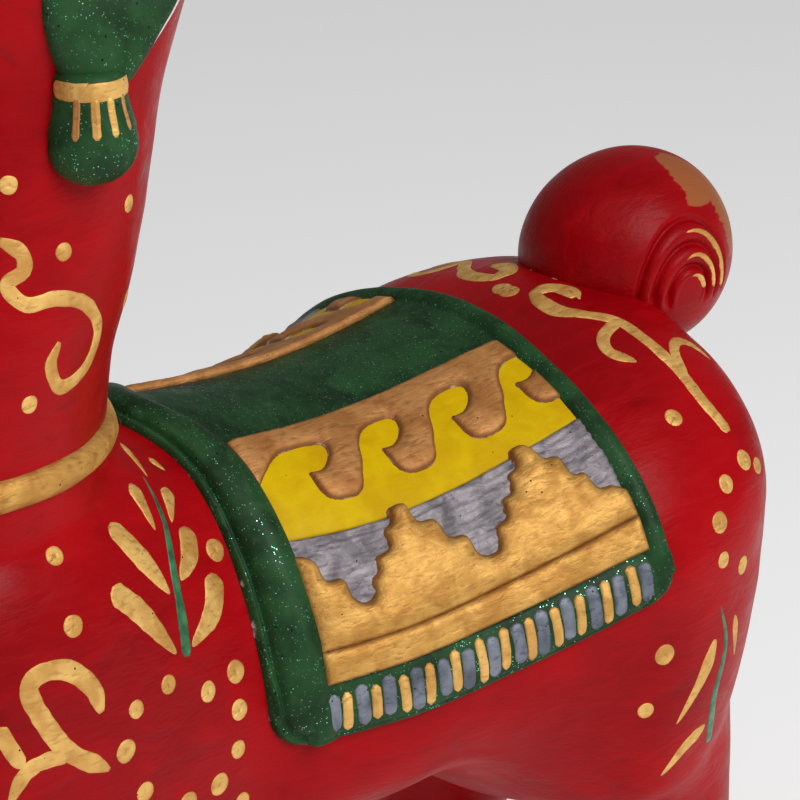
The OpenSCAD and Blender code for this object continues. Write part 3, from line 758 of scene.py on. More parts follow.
def paint_marks():
    # Sprig on the shoulder
    body_stroke("stem", [(39, 67), (37.5, 51), (35.5, 39), (35, 27)], 2.1, head=0.04, tail=0.9)
    for leaf in ([(46.5, 39), (44, 45), (39.5, 55)], [(50.5, 54), (46, 59), (41, 66.5)],
                 [(31.5, 40), (33, 46), (36.5, 52)], [(29.5, 50), (32, 58), (37.5, 65)]):
        body_stroke("gold", leaf, 4.0, head=0.1, tail=0.5)
    for leaf in ([(31.5, 30), (34, 39)], [(38.5, 29), (38, 41)]):
        body_stroke("gold", leaf, 2.9, head=0.2, tail=0.8)
    for leaf in ([(34.5, 16), (34, 27)], [(31, 21), (29.5, 25)]):
        body_stroke("gold", leaf, 1.5, head=0.3, tail=0.8, crown=0.15)
    dots = [(58, 44), (58.5, 60), (27.8, 45), (43.5, 72), (36, 73), (30, 69), (50, 76), (30.5, 76),
            (52.5, 82), (31.5, 83), (49.5, 87), (35.5, 88), (31, 91), (41.5, 89)]
    # Scrolls low on the shoulder and on the chest
    body_stroke("gold", [(56, 76), (57, 72), (60.5, 68), (65, 67.5), (67, 70), (65, 76), (61.5, 81),
                         (55.5, 84)], 3.0, head=0.08, tail=0.1)
    body_stroke("gold", [(61.5, 81), (66, 81), (69, 82), (71.5, 85)], 2.6, head=0.1, tail=0.3)
    body_stroke("gold", [(72, 74), (70.5, 78), (69, 81)], 2.6, head=0.1, tail=0.2)
    # Rump: ring by the spine, vine with its branch and hook
    body_stroke("gold", [(-52.5, -18), (-49, -13), (-49.5, -7), (-53.5, -5), (-56.5, -9), (-55, -13)], 1.7,
                head=0.1, tail=0.12)
    body_stroke("gold", [(-54.5, 12), (-54, 7), (-50.5, 6), (-50, 12), (-52, 17), (-56, 23), (-57, 30),
                         (-58, 40), (-58.5, 50), (-60, 60)], 2.5, head=0.06, tail=0.03)
    body_stroke("gold", [(-56, 23), (-51, 25), (-49.5, 29), (-52, 34)], 2.3, head=0.1, tail=0.2)
    body_stroke("gold", [(-58.3, 43), (-60.3, 36.5), (-63, 34.5), (-65.6, 37), (-67.5, 43)], 2.0,
                head=0.1, tail=0.4)
    dots += [(-48.5, 1), (-58, -3), (-51, 49), (-61, 69), (-64.5, 75), (-55, 69), (-51.5, 76),
             (-51.5, 86), (-57.5, 91), (-39, 94), (-36.5, 101)]
    # Sprig on the haunch
    body_stroke("stem", [(-52.5, 111), (-51.5, 103), (-53, 97), (-51, 92)], 2.0, head=0.04, tail=0.8)
    body_stroke("gold", [(-50, 95), (-47.5, 98), (-42.5, 102)], 3.0, head=0.25, tail=0.75)
    body_stroke("gold", [(-50, 106), (-45, 106), (-41, 109)], 3.0, head=0.25, tail=0.75)
    body_stroke("gold", [(-55.5, 95), (-56.5, 101)], 2.0, head=0.3, tail=0.8)
    for k, (x, phi) in enumerate(dots):
        for p in both(on_body(x, phi, 0.5)):
            dot("gold", BODY_TREE, p[0], 1.45 + 0.18 * (k % 3), 0.16)
    # Neck scroll and dots
    neck_stroke("gold", [(72, 181), (79, 179), (81, 176.5), (77, 175), (84, 172), (93, 172), (104, 170),
                         (113, 165.5), (112, 161), (102, 159.5), (96, 163), (97, 166)], 2.3,
                head=0.06, tail=0.08)
    neck_stroke("gold", [(72, 181), (62, 178), (55, 172), (60, 166), (68, 166)], 1.9, head=0.1, tail=0.1)
    for turn, z in ((72, 188), (92, 178), (135, 166), (92, 158.5), (50, 160), (118, 181)):
        for p in both(neck_place(turn, z)):
            dot("gold", BODY_TREE, p[0], 1.35, 0.16)


paint_marks()


# ---- tail ball with nested arches cut into both sides ----

SCROLL_AXIS = np.array([0.11, 0.97, -0.21])
SCROLL_PITCH = 3.4
SCROLL_REACH = 13.2
ARCH_NARROW = 1.45


def ring_of_directions(polar, turn):
    """Unit directions on one ring of a sphere, the angle polar from its axis."""
    wide = math.sin(polar)
    return np.stack([wide * np.cos(turn), wide * np.sin(turn), math.cos(polar) + 0 * turn], -1)


def scroll_frame():
    """Axis of the carved arches and the directions to their rear and upward."""
    axis = SCROLL_AXIS / np.linalg.norm(SCROLL_AXIS)
    u = np.cross((0, 0, 1.0), axis)
    u /= np.linalg.norm(u)
    return axis, u, np.cross(axis, u)


def tail_ball():
    axis, u, w = scroll_frame()
    polar = np.linspace(0.002, math.pi - 0.002, 230)
    turn = circle(320)
    rings = []
    for p in polar:
        d = ring_of_directions(p, turn)[:, [0, 2, 1]]
        mirrored = d * np.array([1, np.sign(math.cos(p)) or 1, 1])
        rise = mirrored @ w
        reach = TAIL_R * np.hypot(ARCH_NARROW * (mirrored @ u), rise)
        off = np.abs((reach / SCROLL_PITCH) % 1.0 - 0.5) * SCROLL_PITCH
        fade = np.clip((SCROLL_REACH - reach) / 1.5, 0, 1) * np.clip((reach - 3.2) / 0.9, 0, 1)
        fade *= np.clip((rise + 0.14) / 0.16, 0, 1) * (mirrored @ axis > 0)
        carve = fade * (-0.3 * np.cos(off / SCROLL_PITCH * 2 * math.pi) - 0.7 * np.exp(-(off / 0.45) ** 2))
        spots = TAIL + TAIL_R * d
        fuller = 0.19 * TAIL_R * np.maximum(d[:, 0], 0)[:, None] * np.array([1, 0, 0])
        rings.append(TAIL + fuller + d * (TAIL_R + carve + 0.25 * rough(spots, 11, 3))[:, None])
    points, faces = skin(rings)
    out = (points - TAIL) / TAIL_R
    # Where gold was dry-brushed: the upper rear flank, running down in a narrow strip
    heading = np.degrees(np.arctan2(np.abs(out[:, 1]), out[:, 0]))
    wide = np.clip((heading - 80) / 20, 0, 1) * np.clip((out[:, 2] - 0.5) / 0.14, 0, 1)
    low = np.clip((heading - 104) / 18, 0, 1) * np.clip((out[:, 2] + 0.15) / 0.3, 0, 1)
    rub = np.maximum(wide, low) * np.clip((154 - heading) / 10, 0, 1)
    rub *= np.clip((1.0 - out[:, 2]) / 0.06, 0, 1)
    piece(new_object("tail_ball", points, faces, RED, {"rub": rub}), "red_paint", "tail")
    return tree_of(points, faces)


TAIL_TREE = tail_ball()


def tail_marks():
    axis, u, w = scroll_frame()
    for flip in (1, -1):
        for arch, start, stop, width in ((3.0, -2, 98, 1.6), (2.0, 4, 110, 1.3), (1.05, 15, 100, 1.0)):
            route = []
            for turn in np.radians(np.linspace(start, stop, 9)):
                side_way = arch * SCROLL_PITCH / TAIL_R * math.cos(turn) / ARCH_NARROW
                up_way = arch * SCROLL_PITCH / TAIL_R * math.sin(turn)
                d = side_way * u + up_way * w + math.sqrt(1 - side_way ** 2 - up_way ** 2) * axis
                route.append(TAIL + TAIL_R * d * np.array([1, flip, 1]))
            stroke("gold", TAIL_TREE, route, width, head=0.1, tail=0.5, crown=0.1)


tail_marks()


# ---- saddle cloth and its panels ----

def cloth_edges(phi):
    """Rear and front edge of the cloth at an angle from the spine; both bow out over the back."""
    return -39.6 - 1.6 * np.exp(-(phi / 20) ** 2), 25.6 + 5.4 * np.exp(-(phi / 16) ** 2)


MM_PER_DEGREE = 0.77
CLOTH_CORNER = 5.0


def hump(d, a, b, height):
    """Rounded roll of the given height between the distances a and b."""
    t = np.clip((d - a) / (b - a), 0, 1)
    return height * np.sin(math.pi * t) ** 0.7


def saddle_cloth():
    """Cloth over the back: a rolled border, a sunk line inside its edges, a flat bed for each panel."""
    share = np.linspace(0, 1, 230)
    share = share - 0.045 * np.sin(2 * math.pi * share)
    turn = np.linspace(-1, 1, 420)
    a, b = np.meshgrid(share, turn, indexing="ij")
    x0 = CLOTH_X[0] + a * (CLOTH_X[1] - CLOTH_X[0])
    phi = b * line_phi(x0, "hem")
    rear, front = cloth_edges(phi)
    x = rear + a * (front - rear)
    # Rounded corners: square coordinates mapped onto a quarter disc
    to_hem = (line_phi(x, "hem") - np.abs(phi)) * MM_PER_DEGREE
    for ahead in (1, -1):
        to_edge = front - x if ahead > 0 else x - rear
        p = np.clip(1 - to_edge / CLOTH_CORNER, 0, 1)
        q = np.clip(1 - to_hem / CLOTH_CORNER, 0, 1)
        dx = CLOTH_CORNER * (p - p * np.sqrt(1 - q * q / 2))
        dq = CLOTH_CORNER * (q - q * np.sqrt(1 - p * p / 2))
        x = x - ahead * dx
        phi = phi - np.sign(phi) * dq / MM_PER_DEGREE
    to_front, to_rear = front - x, x - rear
    to_hem = (line_phi(x, "hem") - np.abs(phi)) * MM_PER_DEGREE
    near = np.minimum(to_front, to_rear)
    both_near = (near < CLOTH_CORNER) & (to_hem < CLOTH_CORNER)
    diagonal = CLOTH_CORNER - np.hypot(CLOTH_CORNER - near, CLOTH_CORNER - to_hem)
    to_any = np.where(both_near, diagonal, np.minimum(near, to_hem))
    to_front = np.where(both_near & (to_front < CLOTH_CORNER), diagonal, to_front)
    to_rear = np.where(both_near & (to_rear < CLOTH_CORNER), diagonal, to_rear)
    to_hem = np.where(both_near, diagonal, to_hem)
    panel = ((np.abs(phi) > line_phi(x, "top") + 1) & (np.abs(phi) < line_phi(x, "bottom") - 1)
             & (x > PANEL_X[0] + 1) & (x < PANEL_X[1] - 1))
    roll = np.maximum.reduce([
        hump(to_front, 1.4, 9.2, 2.0), hump(to_rear, 0.4, 4.4, 1.3), hump(to_hem, 0.6, 10.5, 0.9)])
    spots = on_body(x, phi)
    off = np.where(panel, 0.8, 1.35) + roll
    off = off - 0.85 * np.exp(-((to_front - 1.5) / 0.4) ** 2) - 0.45 * np.exp(-((to_hem - 0.9) / 0.3) ** 2)
    off = off + 0.14 * rough(spots, 7, 5) + 0.05 * rough(spots * np.array([1, 0.4, 0.4]), 1.1, 6)
    off = off * np.sqrt(np.clip(to_any / 0.5, 0.0, 1)) + 0.12
    top = on_body(x, phi, off)
    bottom = on_body(x, phi, -0.9)
    points, faces, used = closed_sheet(top, bottom)
    edge = on_sheet(0.95 * np.clip(1 - to_any, 0, 1), used)
    piece(new_object("saddle_cloth_carved", points, faces, GREEN, {"edge": edge}),
          "green_glitter_paint", "saddle_cloth")
    return tree_of(points, faces)


CLOTH_TREE = saddle_cloth()


def band_width(low, high):
    """Mean width on the body between two of the cloth's lines."""
    x = np.linspace(PANEL_X[0], PANEL_X[1], 9)
    a = on_body(x, line_phi(x, low))
    b = on_body(x, line_phi(x, high))
    return float(np.mean(np.linalg.norm(a - b, axis=-1)))


RELIEF_CELL = 0.33
# Points this far outside an outline are still drawn in to it
RELIEF_SNAP = 0.7


def relief(name, lines, material, slot, inside, base, rise, edge_round, span, texture, reach=0.45):
    """A raised layer of the panel on both sides, between two of the cloth's lines.

    inside(x, v) is the distance in mm into its outline, v running down from the upper line. span is
    the share of the width that is meshed. Edges darken over the reach.
    """
    low, high = lines
    wide = band_width(low, high)
    x_line = np.linspace(PANEL_X[0], PANEL_X[1], int((PANEL_X[1] - PANEL_X[0]) / RELIEF_CELL))
    v_line = np.linspace(span[0], span[1], int(wide * (span[1] - span[0]) / RELIEF_CELL)) * wide
    x, v = np.meshgrid(x_line, v_line, indexing="ij")
    d = inside(x, v)
    gx, gv = np.gradient(d, x_line[1] - x_line[0], v_line[1] - v_line[0])
    steep = np.maximum(np.hypot(gx, gv), 0.3)
    shift = np.clip(np.where(d < 0, -d / steep, 0), 0, RELIEF_SNAP)
    corners = [d[:-1, :-1], d[1:, :-1], d[:-1, 1:], d[1:, 1:]]
    keep = (np.maximum.reduce(corners) > 0) & (np.minimum.reduce(corners) > -RELIEF_SNAP)
    x2 = np.clip(x + shift * gx / steep, *PANEL_X)
    v2 = np.clip(v + shift * gv / steep, v_line[0], v_line[-1])
    d = np.minimum(d, everywhere(x, v))
    t = np.clip(d / edge_round, 0, 1)
    off = base + rise * np.sqrt(np.maximum(0, 1 - (1 - t) ** 2))
    phi = line_phi(x2, low) + (line_phi(x2, high) - line_phi(x2, low)) * v2 / wide
    spots = on_body(x2, phi)
    off = off + texture(v, spots) * np.clip(d / 0.4, 0, 1)
    top = on_body(x2, phi, off)
    bottom = on_body(x2, phi, base - 0.6)
    points, faces, used = closed_sheet(top, bottom, keep)
    # The edge mask carries painted shade at the foot of the relief, with darker paint there, and worn gesso
    # at the outermost edge
    edge = on_sheet(np.clip(1.1 - d / reach, 0, 1), used)
    for side, flip in (("left", 1), ("right", -1)):
        turned = faces if flip > 0 else [tuple(reversed(g)) for g in faces]
        obj = new_object(f"{name}_{side}_raised", points * np.array([1, flip, 1]), turned, material,
                         {"edge": edge})
        piece(obj, slot, f"{name}_{side}")


def everywhere(x, v):
    """Distance into the panel from its front and rear edges."""
    return np.minimum(x - PANEL_X[0], PANEL_X[1] - x)


def bar(x, v):
    """The gold bar, a little wider than the space between its lines."""
    return np.minimum.reduce([everywhere(x, v), v - 0.1, BAR_WIDE + 0.3 - v])


def capsule(x, v, a, b):
    """Distance into a tapered stroke from a to b, each (x, v, radius)."""
    ax, av, ar = a
    bx, bv, br = b
    dx, dv = bx - ax, bv - av
    t = np.clip(((x - ax) * dx + (v - av) * dv) / (dx * dx + dv * dv), 0, 1)
    return ar + (br - ar) * t - np.hypot(x - ax - t * dx, v - av - t * dv)


def soft_union(parts, blend):
    """Distance into the union of the parts, its inner corners rounded over about blend mm."""
    top = np.maximum.reduce(parts)
    return top + blend * np.log(sum(np.exp((p - top) / blend) for p in parts)) - blend * 0.2


WAVE_WIDE = band_width("top", "middle")
HILL_WIDE = band_width("middle", "groove")
BAR_WIDE = band_width("groove", "bottom")
# One hook: place along the body, share of the way down the yellow ground, radius
HOOK = [(-1.7, 0.1, 3.4), (0.9, 0.4, 2.0), (3.6, 0.58, 2.5), (6.0, 0.6, 1.9), (8.1, 0.46, 0.4)]
HOOK_SHIFTS = (0.0, -13.8, -27.4, -40.0)
STRIP = 0.2
FRONT_CORNER = ((PANEL_X[1], 0.12 * WAVE_WIDE, 7.4), (PANEL_X[1] + 0.6, 0.56 * WAVE_WIDE, 0.3))


def waves(x, v):
    """Strip along the top of the panel with hooks that curl forward."""
    parts = [STRIP * WAVE_WIDE - v, capsule(x, v, *FRONT_CORNER)]
    for shift in HOOK_SHIFTS:
        spots = [(at + shift, f * WAVE_WIDE, r) for at, f, r in HOOK]
        parts += [capsule(x, v, a, b) for a, b in zip(spots, spots[1:])]
    return soft_union(parts, 1.1)


# Stepped upper outline of the gold hills from front to rear: x, and the share of the way from the
# silver line down to the groove
HILLS = [
    (18.2, 0.12), (15.6, 0.16), (14.4, 0.24), (13.9, 0.4), (11.8, 0.41), (11.0, 0.46), (10.7, 0.6),
    (9.4, 0.68), (7.9, 0.66), (7.2, 0.5), (6.2, 0.46), (5.6, 0.33), (4.0, 0.29), (2.9, 0.26), (2.6, 0.1),
    (1.0, 0.06), (0.2, -0.07), (-1.6, -0.1), (-3, -0.06), (-3.6, 0.12), (-5.8, 0.15), (-6.8, 0.22),
    (-7.2, 0.38), (-9.4, 0.42), (-10.2, 0.48), (-10.6, 0.64), (-12.2, 0.7), (-13.8, 0.68), (-14.4, 0.5),
    (-16.6, 0.46), (-17.4, 0.3), (-19.4, 0.27),
    (-20.2, 0.12), (-22.0, 0.08), (-22.6, -0.06), (-24.8, -0.08), (-26.4, 0.02), (-27.0, 0.14), (-29.0, 0.2),
    (-29.6, 0.4), (-31.2, 0.44), (-32.0, 0.62), (-34, 0.66), (-36, 0.76),
]


def polygon_distance(x, v, outline):
    """Distance into a closed outline, negative outside."""
    pts = np.array(outline)
    nxt = np.roll(pts, -1, axis=0)
    best = np.full(x.shape, 1e9)
    odd = np.zeros(x.shape, bool)
    for (ax, av), (bx, bv) in zip(pts, nxt):
        dx, dv = bx - ax, bv - av
        t = np.clip(((x - ax) * dx + (v - av) * dv) / max(dx * dx + dv * dv, 1e-9), 0, 1)
        best = np.minimum(best, np.hypot(x - ax - t * dx, v - av - t * dv))
        if av != bv:
            odd ^= ((av > v) != (bv > v)) & (x < dx * (v - av) / dv + ax)
    return np.where(odd, best, -best)


def hills(x, v):
    """The hills run on under the bar, and past the panel at both ends."""
    ends = [(-40.0, 0.74), (-40.0, 1.1), (22.0, 1.1), (22.0, 0.15)]
    route = curve_through([(hx, hf * HILL_WIDE) for hx, hf in HILLS], 0.5)
    outline = [tuple(p) for p in route] + [(ex, ef * HILL_WIDE) for ex, ef in ends]
    return np.minimum(polygon_distance(x, v, outline), HILL_WIDE + 0.9 - v)


def creases(spots, stretch, size, seed):
    """Noise from 0 to 1 with creases that run along the body."""
    return np.abs(rough(spots * np.array([stretch, 1, 1]), size, seed))


def silver_ridges(v, spots):
    warp = v + 0.5 * rough(spots * np.array([0.25, 1, 1]), 2.4, 8)
    return (0.1 * np.sin(warp * 2 * math.pi / 1.3) + 0.5 * creases(spots, 0.3, 1.6, 9)
            + 0.16 * rough(spots, 1.4, 10) + 0.2 * rough(spots, 4, 11))


def gold_lumps(v, spots):
    return (0.34 * rough(spots, 5.5, 12) + 0.16 * creases(spots, 0.35, 1.5, 13)
            + 0.1 * creases(spots, 0.3, 0.75, 14))


def bronze_brush(v, spots):
    return 0.1 * rough(spots, 3.5, 15) + 0.06 * rough(spots * np.array([1, 0.35, 0.35]), 0.8, 16)


def yellow_brush(v, spots):
    return 0.07 * rough(spots, 3, 17) + 0.04 * rough(spots * np.array([0.3, 1, 1]), 0.8, 18)


relief("yellow_ground", ("top", "middle"), YELLOW, "yellow_paint", everywhere,
       base=1.2, rise=0.6, edge_round=0.6, span=(0.0, 0.99), texture=yellow_brush)
relief("silver_ground", ("middle", "groove"), SILVER, "silver_paint", everywhere,
       base=1.25, rise=0.75, edge_round=1.2, span=(0.0, 0.985), texture=silver_ridges)
relief("wave_relief", ("top", "middle"), BRONZE, "bronze_paint", waves,
       base=1.5, rise=1.25, edge_round=2.2, span=(-0.03, 0.95), texture=bronze_brush, reach=0.9)
relief("mountain_relief", ("middle", "groove"), GOLD, "gold_paint", hills,
       base=1.5, rise=2.0, edge_round=3.0, span=(-0.13, 1.07), texture=gold_lumps, reach=1.1)
relief("hem_bar", ("groove", "bottom"), GOLD, "gold_paint", bar,
       base=1.3, rise=2.0, edge_round=1.6, span=(0.0, 1.06), texture=gold_lumps, reach=0.9)


FRINGE_X = (17.0, -34.5)
FRINGE_STROKES = 25


def fringe():
    """Short strokes across the lower border, silver and gold by turns."""
    for k, x in enumerate(np.linspace(*FRINGE_X, FRINGE_STROKES)):
        group, width = (("silver", 2.2), ("gold", 1.7))[k % 2]
        slant = 0.3 * math.sin(k * 2.1)
        low = line_phi(x, "hem") - 2.2 + 0.5 * math.sin(k * 1.3)
        high = line_phi(x, "bottom") + 1.9 + 0.5 * math.sin(k * 2.7)
        for route in both([on_body(x + slant * t, high + (low - high) * t, 2.0) for t in (0, 0.33, 0.66, 1)]):
            stroke(group, CLOTH_TREE, route, width, head=0.08, tail=0.12, crown=0.26)


fringe()


# ---- collar, cap, ears, flaps ----

def tipped(p, k):
    """Points turned by the angle k about the animal's crosswise axis."""
    x, y, z = p[..., 0], p[..., 1], p[..., 2]
    return np.stack([x * math.cos(k) + z * math.sin(k), y, -x * math.sin(k) + z * math.cos(k)], -1)


def ring_band(name, centre, tilt, radius, tall, proud, node):
    """Half-round gold band around the neck or the brim, slightly uneven like hand-laid relief."""
    rings = []
    k = math.radians(tilt)
    profile = np.arange(-100, 101, 10)
    for a in np.radians(np.arange(0, 360, 1.5)):
        row = []
        swell = 1 + 0.06 * noise.noise(Vector((math.cos(a) * 2.2, math.sin(a) * 2.2, 3.1)))
        for q in np.radians(profile):
            out = radius - 0.6 + (proud + 0.6) * swell * max(math.cos(q), -0.2)
            z = 0.5 * tall * swell * math.sin(q)
            lump = 0.16 * noise.noise(Vector((math.cos(a) * 9, math.sin(a) * 9, q * 1.6)))
            r = out + lump * max(math.cos(q), 0)
            row.append(np.array(centre) + tipped(np.array([r * math.cos(a), r * math.sin(a), z]), k))
        rings.append(np.array(row))
    m, n = len(rings), len(rings[0])
    faces = [(i * n + j, ((i + 1) % m) * n + j, ((i + 1) % m) * n + (j + 1) % n, i * n + (j + 1) % n)
             for i in range(m) for j in range(n)]
    # Painted shade on the upper and lower flanks of the half-round band, passed on as its edge mask
    flank_shade = 0.75 * np.clip((np.abs(profile) - 35) / 50, 0, 1)
    obj = new_object(name, np.concatenate(rings), faces, GOLD, {"edge": np.tile(flank_shade, m)})
    piece(obj, "gold_paint", node)


ring_band("collar_band", COLLAR, 0, 27.3, 5.4, 2.5, "collar")

CAP_CENTRE = np.array([43.0, 0.0, 228.5])
CAP_TILT = 12.0
CAP_R = 32.0
CAP_HEIGHT = 29.0
CAP_BRIM = -3.0
POMPOM_R = 7.5
POMPOM_LIFT = 6.4


def cap_place(x, y, z):
    """Place given in the tilted frame of the cap."""
    return CAP_CENTRE + tipped(np.stack(np.broadcast_arrays(x, y, z), -1), math.radians(-CAP_TILT))


def cap_crown():
    outline = [(CAP_R - 4.5, CAP_BRIM + 0.3), (CAP_R - 1.2, CAP_BRIM), (CAP_R - 0.3, CAP_BRIM + 0.6)]
    outline += [(CAP_R, z) for z in np.linspace(CAP_BRIM + 1.4, -0.5, 4)]
    outline += [(CAP_R * math.cos(t) ** 0.85, CAP_HEIGHT * math.sin(t) ** 0.95)
                for t in np.radians(np.linspace(1, 88.5, 60))]
    turn = circle(256)
    rings = []
    for r, z in outline:
        gore = 0.22 * np.abs(np.sin(4 * turn)) ** 0.5 * min(1, r / 10)
        p = cap_place((r + gore) * np.cos(turn), (r + gore) * np.sin(turn), z)
        out = p - CAP_CENTRE
        out /= np.linalg.norm(out, axis=-1, keepdims=True)
        rings.append(p + out * (0.22 * rough(p, 9, 21))[:, None])
    points, faces = skin(rings)
    piece(new_object("cap_crown_carved", points, faces, GREEN, {"edge": np.zeros(len(points))}),
          "green_glitter_paint", "cap_crown")
    return tree_of(points, faces)


CAP_TREE = cap_crown()
ring_band("cap_band_trim", cap_place(0, 0, CAP_BRIM + 2.6), -CAP_TILT, CAP_R - 0.1, 5.0, 1.4, "cap_band")


def cap_marks():
    """Painted zigzag and dots above the brim."""
    teeth = 16
    route = []
    for k in range(teeth * 2 + 1):
        a = math.pi * k / teeth
        z = 7.0 + (3.6 if k % 2 else 0.0)
        route.append(cap_place(CAP_R * math.cos(a), CAP_R * math.sin(a), z))
    for k in range(len(route) - 1):
        middle = 0.5 * (route[k] + route[k + 1])
        stroke("silver" if k % 4 < 2 else "gold", CAP_TREE, [route[k], middle, route[k + 1]], 1.5,
               head=0.15, tail=0.2, crown=0.28)
    for k in range(teeth):
        a = 2 * math.pi * (k + 0.5) / teeth
        for z, shift, radius in ((14.5, 0.0, 0.95), (6.0, 0.2, 0.7)):
            r = CAP_R * 0.95
            dot("gold", CAP_TREE, cap_place(r * math.cos(a + shift), r * math.sin(a + shift), z), radius)


cap_marks()


def pompom():
    centre = cap_place(0, 0, CAP_HEIGHT + POMPOM_LIFT)
    polar = np.linspace(0.01, math.pi - 0.01, 90)
    turn = circle(140)
    rings = []
    for p in polar:
        d = ring_of_directions(p, turn)
        tuft = 0.55 * np.abs(rough(d * 8, 1.6, 31)) + 0.2 * rough(d * 8, 0.7, 32)
        rings.append(centre + d * (POMPOM_R + tuft)[:, None])
    points, faces = skin(rings)
    piece(new_object("pompom_tuft", points, faces, GOLD), "gold_paint", "pompom")


pompom()


EAR_FOOT = (38.0, 21.0, 246.0)


def ear(side, name):
    """Leaf-shaped ear, hollowed at the front."""
    base = sided(EAR_FOOT, side)
    lean, back, height, inward = math.radians(side * 18), math.radians(8), 27.5, 4.5
    rings = []
    for t in np.linspace(0, 1, 44):
        width = 5.9 * (1 - t ** 4) ** 0.55 * (0.84 + 0.34 * math.sin(math.pi * min(1, t * 1.1)))
        deep = 5.0 * (1 - t ** 3.2) ** 0.6
        a = circle(72)
        front = np.maximum(np.cos(a), 0)
        hollow = front ** 1.5 * 0.95 * min(1, t * 2.5)
        x = deep * np.cos(a) * (1 - hollow) - 0.25 * deep * front
        y = width * np.sin(a)
        z = np.full_like(a, -2 + height * t)
        x2 = x * math.cos(back) - z * math.sin(back)
        z2 = x * math.sin(back) + z * math.cos(back)
        y3 = y * math.cos(lean) + z2 * math.sin(lean)
        z3 = z2 * math.cos(lean) - y * math.sin(lean)
        p = base + np.stack([x2, y3 - side * inward * t ** 2, z3], -1)
        rings.append(p + 0.12 * rough(p, 5, 41)[:, None])
    points, faces = skin(rings)
    piece(new_object(f"{name}_carved", points, faces, RED), "red_paint", name)
    spine = [rings[int(43 * t)][0] for t in np.linspace(0.35, 0.85, 4)]
    stroke("gold", tree_of(points, faces), spine, 1.6, head=0.3, tail=0.7, crown=0.15)


ear(1, "ear_left")
ear(-1, "ear_right")


FLAP_FOOT = 200.2
FLAP_TOP = 232.0
# Heights along the flap and how far its middle line is turned to the rear there, in degrees
FLAP_LINE = ([200, 206, 211, 217, 232], [-2.3, -4.1, -6.0, -11.5, -11.5])
FLAP_R = 30.5
# Radius of the cheek under the flap, which turns a width into an angle
CHEEK_R = 27.8
# Depth of the flap's underside in the cheek
FLAP_SINK = 0.5


def flap_half(z):
    """Half width of the flap, which flares upward from the gathered foot."""
    rise = np.clip(z - FLAP_FOOT, 0, 20.8)
    return 5.3 + 0.86 * rise - 0.0202 * rise ** 2


def evened(sheet, rounds=300):
    """The sheet with its small unevenness smoothed away, its edges kept."""
    for _ in range(rounds):
        sheet[1:-1] = 0.25 * sheet[:-2] + 0.5 * sheet[1:-1] + 0.25 * sheet[2:]
        sheet[:, 1:-1] = 0.25 * sheet[:, :-2] + 0.5 * sheet[:, 1:-1] + 0.25 * sheet[:, 2:]
    return sheet


def earflap(side, name):
    """Flap of the cap that lies against the cheek, with the gold band gathered at its foot."""
    z_line = np.linspace(FLAP_FOOT, FLAP_TOP, 110)
    share = np.linspace(-1, 1, 90)
    share = share + 0.12 * np.sin(math.pi * share)
    neck = np.array(NECK)
    place, out_way, lifts, edge = [], [], [], []
    for z in z_line:
        cx = np.interp(z, neck[:, 1], neck[:, 0])
        middle = math.radians(np.interp(z, *FLAP_LINE))
        half = flap_half(z)
        row_p, row_o, row_l, row_e = [], [], [], []
        for s in share:
            beta = middle + s * half / CHEEK_R
            at, out = stick(BODY_TREE, (cx + FLAP_R * math.sin(beta), side * FLAP_R * math.cos(beta), z))
            foot = max(0, 1 - (z - FLAP_FOOT) / 9)
            t = min((1 - abs(s)) * half / (2.6 + 2.6 * foot), 1)
            lift = 0.1 + (2.2 + 2.4 * foot) * math.sqrt(max(0, 1 - (1 - t) ** 2))
            lift += 0.14 * noise.noise(Vector((s * half / 5, z / 5, side * 3.0)))
            row_p.append(at)
            row_o.append(out)
            row_l.append([lift])
            # Only the rear edge is marked: painted highlight, drawn with the green paint's gesso mix
            row_e.append(min(1, max(0, 1.35 - (1 - abs(s)) * half / 0.6)) * (s < 0))
        place.append(row_p)
        out_way.append(row_o)
        lifts.append(row_l)
        edge.append(row_e)
    place, out_way = evened(np.array(place)), evened(np.array(out_way))
    top = place + out_way * np.array(lifts)
    points, faces, used = closed_sheet(top, place - out_way * FLAP_SINK)
    if side > 0:
        faces = [tuple(reversed(f)) for f in faces]
    rear_edge_highlight = {"edge": on_sheet(np.array(edge), used)}
    piece(new_object(f"{name}_carved", points, faces, GREEN, rear_edge_highlight), "green_glitter_paint", name)
    # Painted highlight along the rear edge, in the white of bare gesso, in three broken lengths
    tree = tree_of(points, faces)
    for start, stop in ((4, 34), (36, 70), (73, 106)):
        stroke("white", tree, top[start:stop:6, 5], 0.6, head=0.3, tail=0.3, crown=0.08)


TASSEL = (48.6, 27.6, 191.9)
TASSEL_BAND_R = 4.9
TASSEL_BAND_LIFT = 8.1


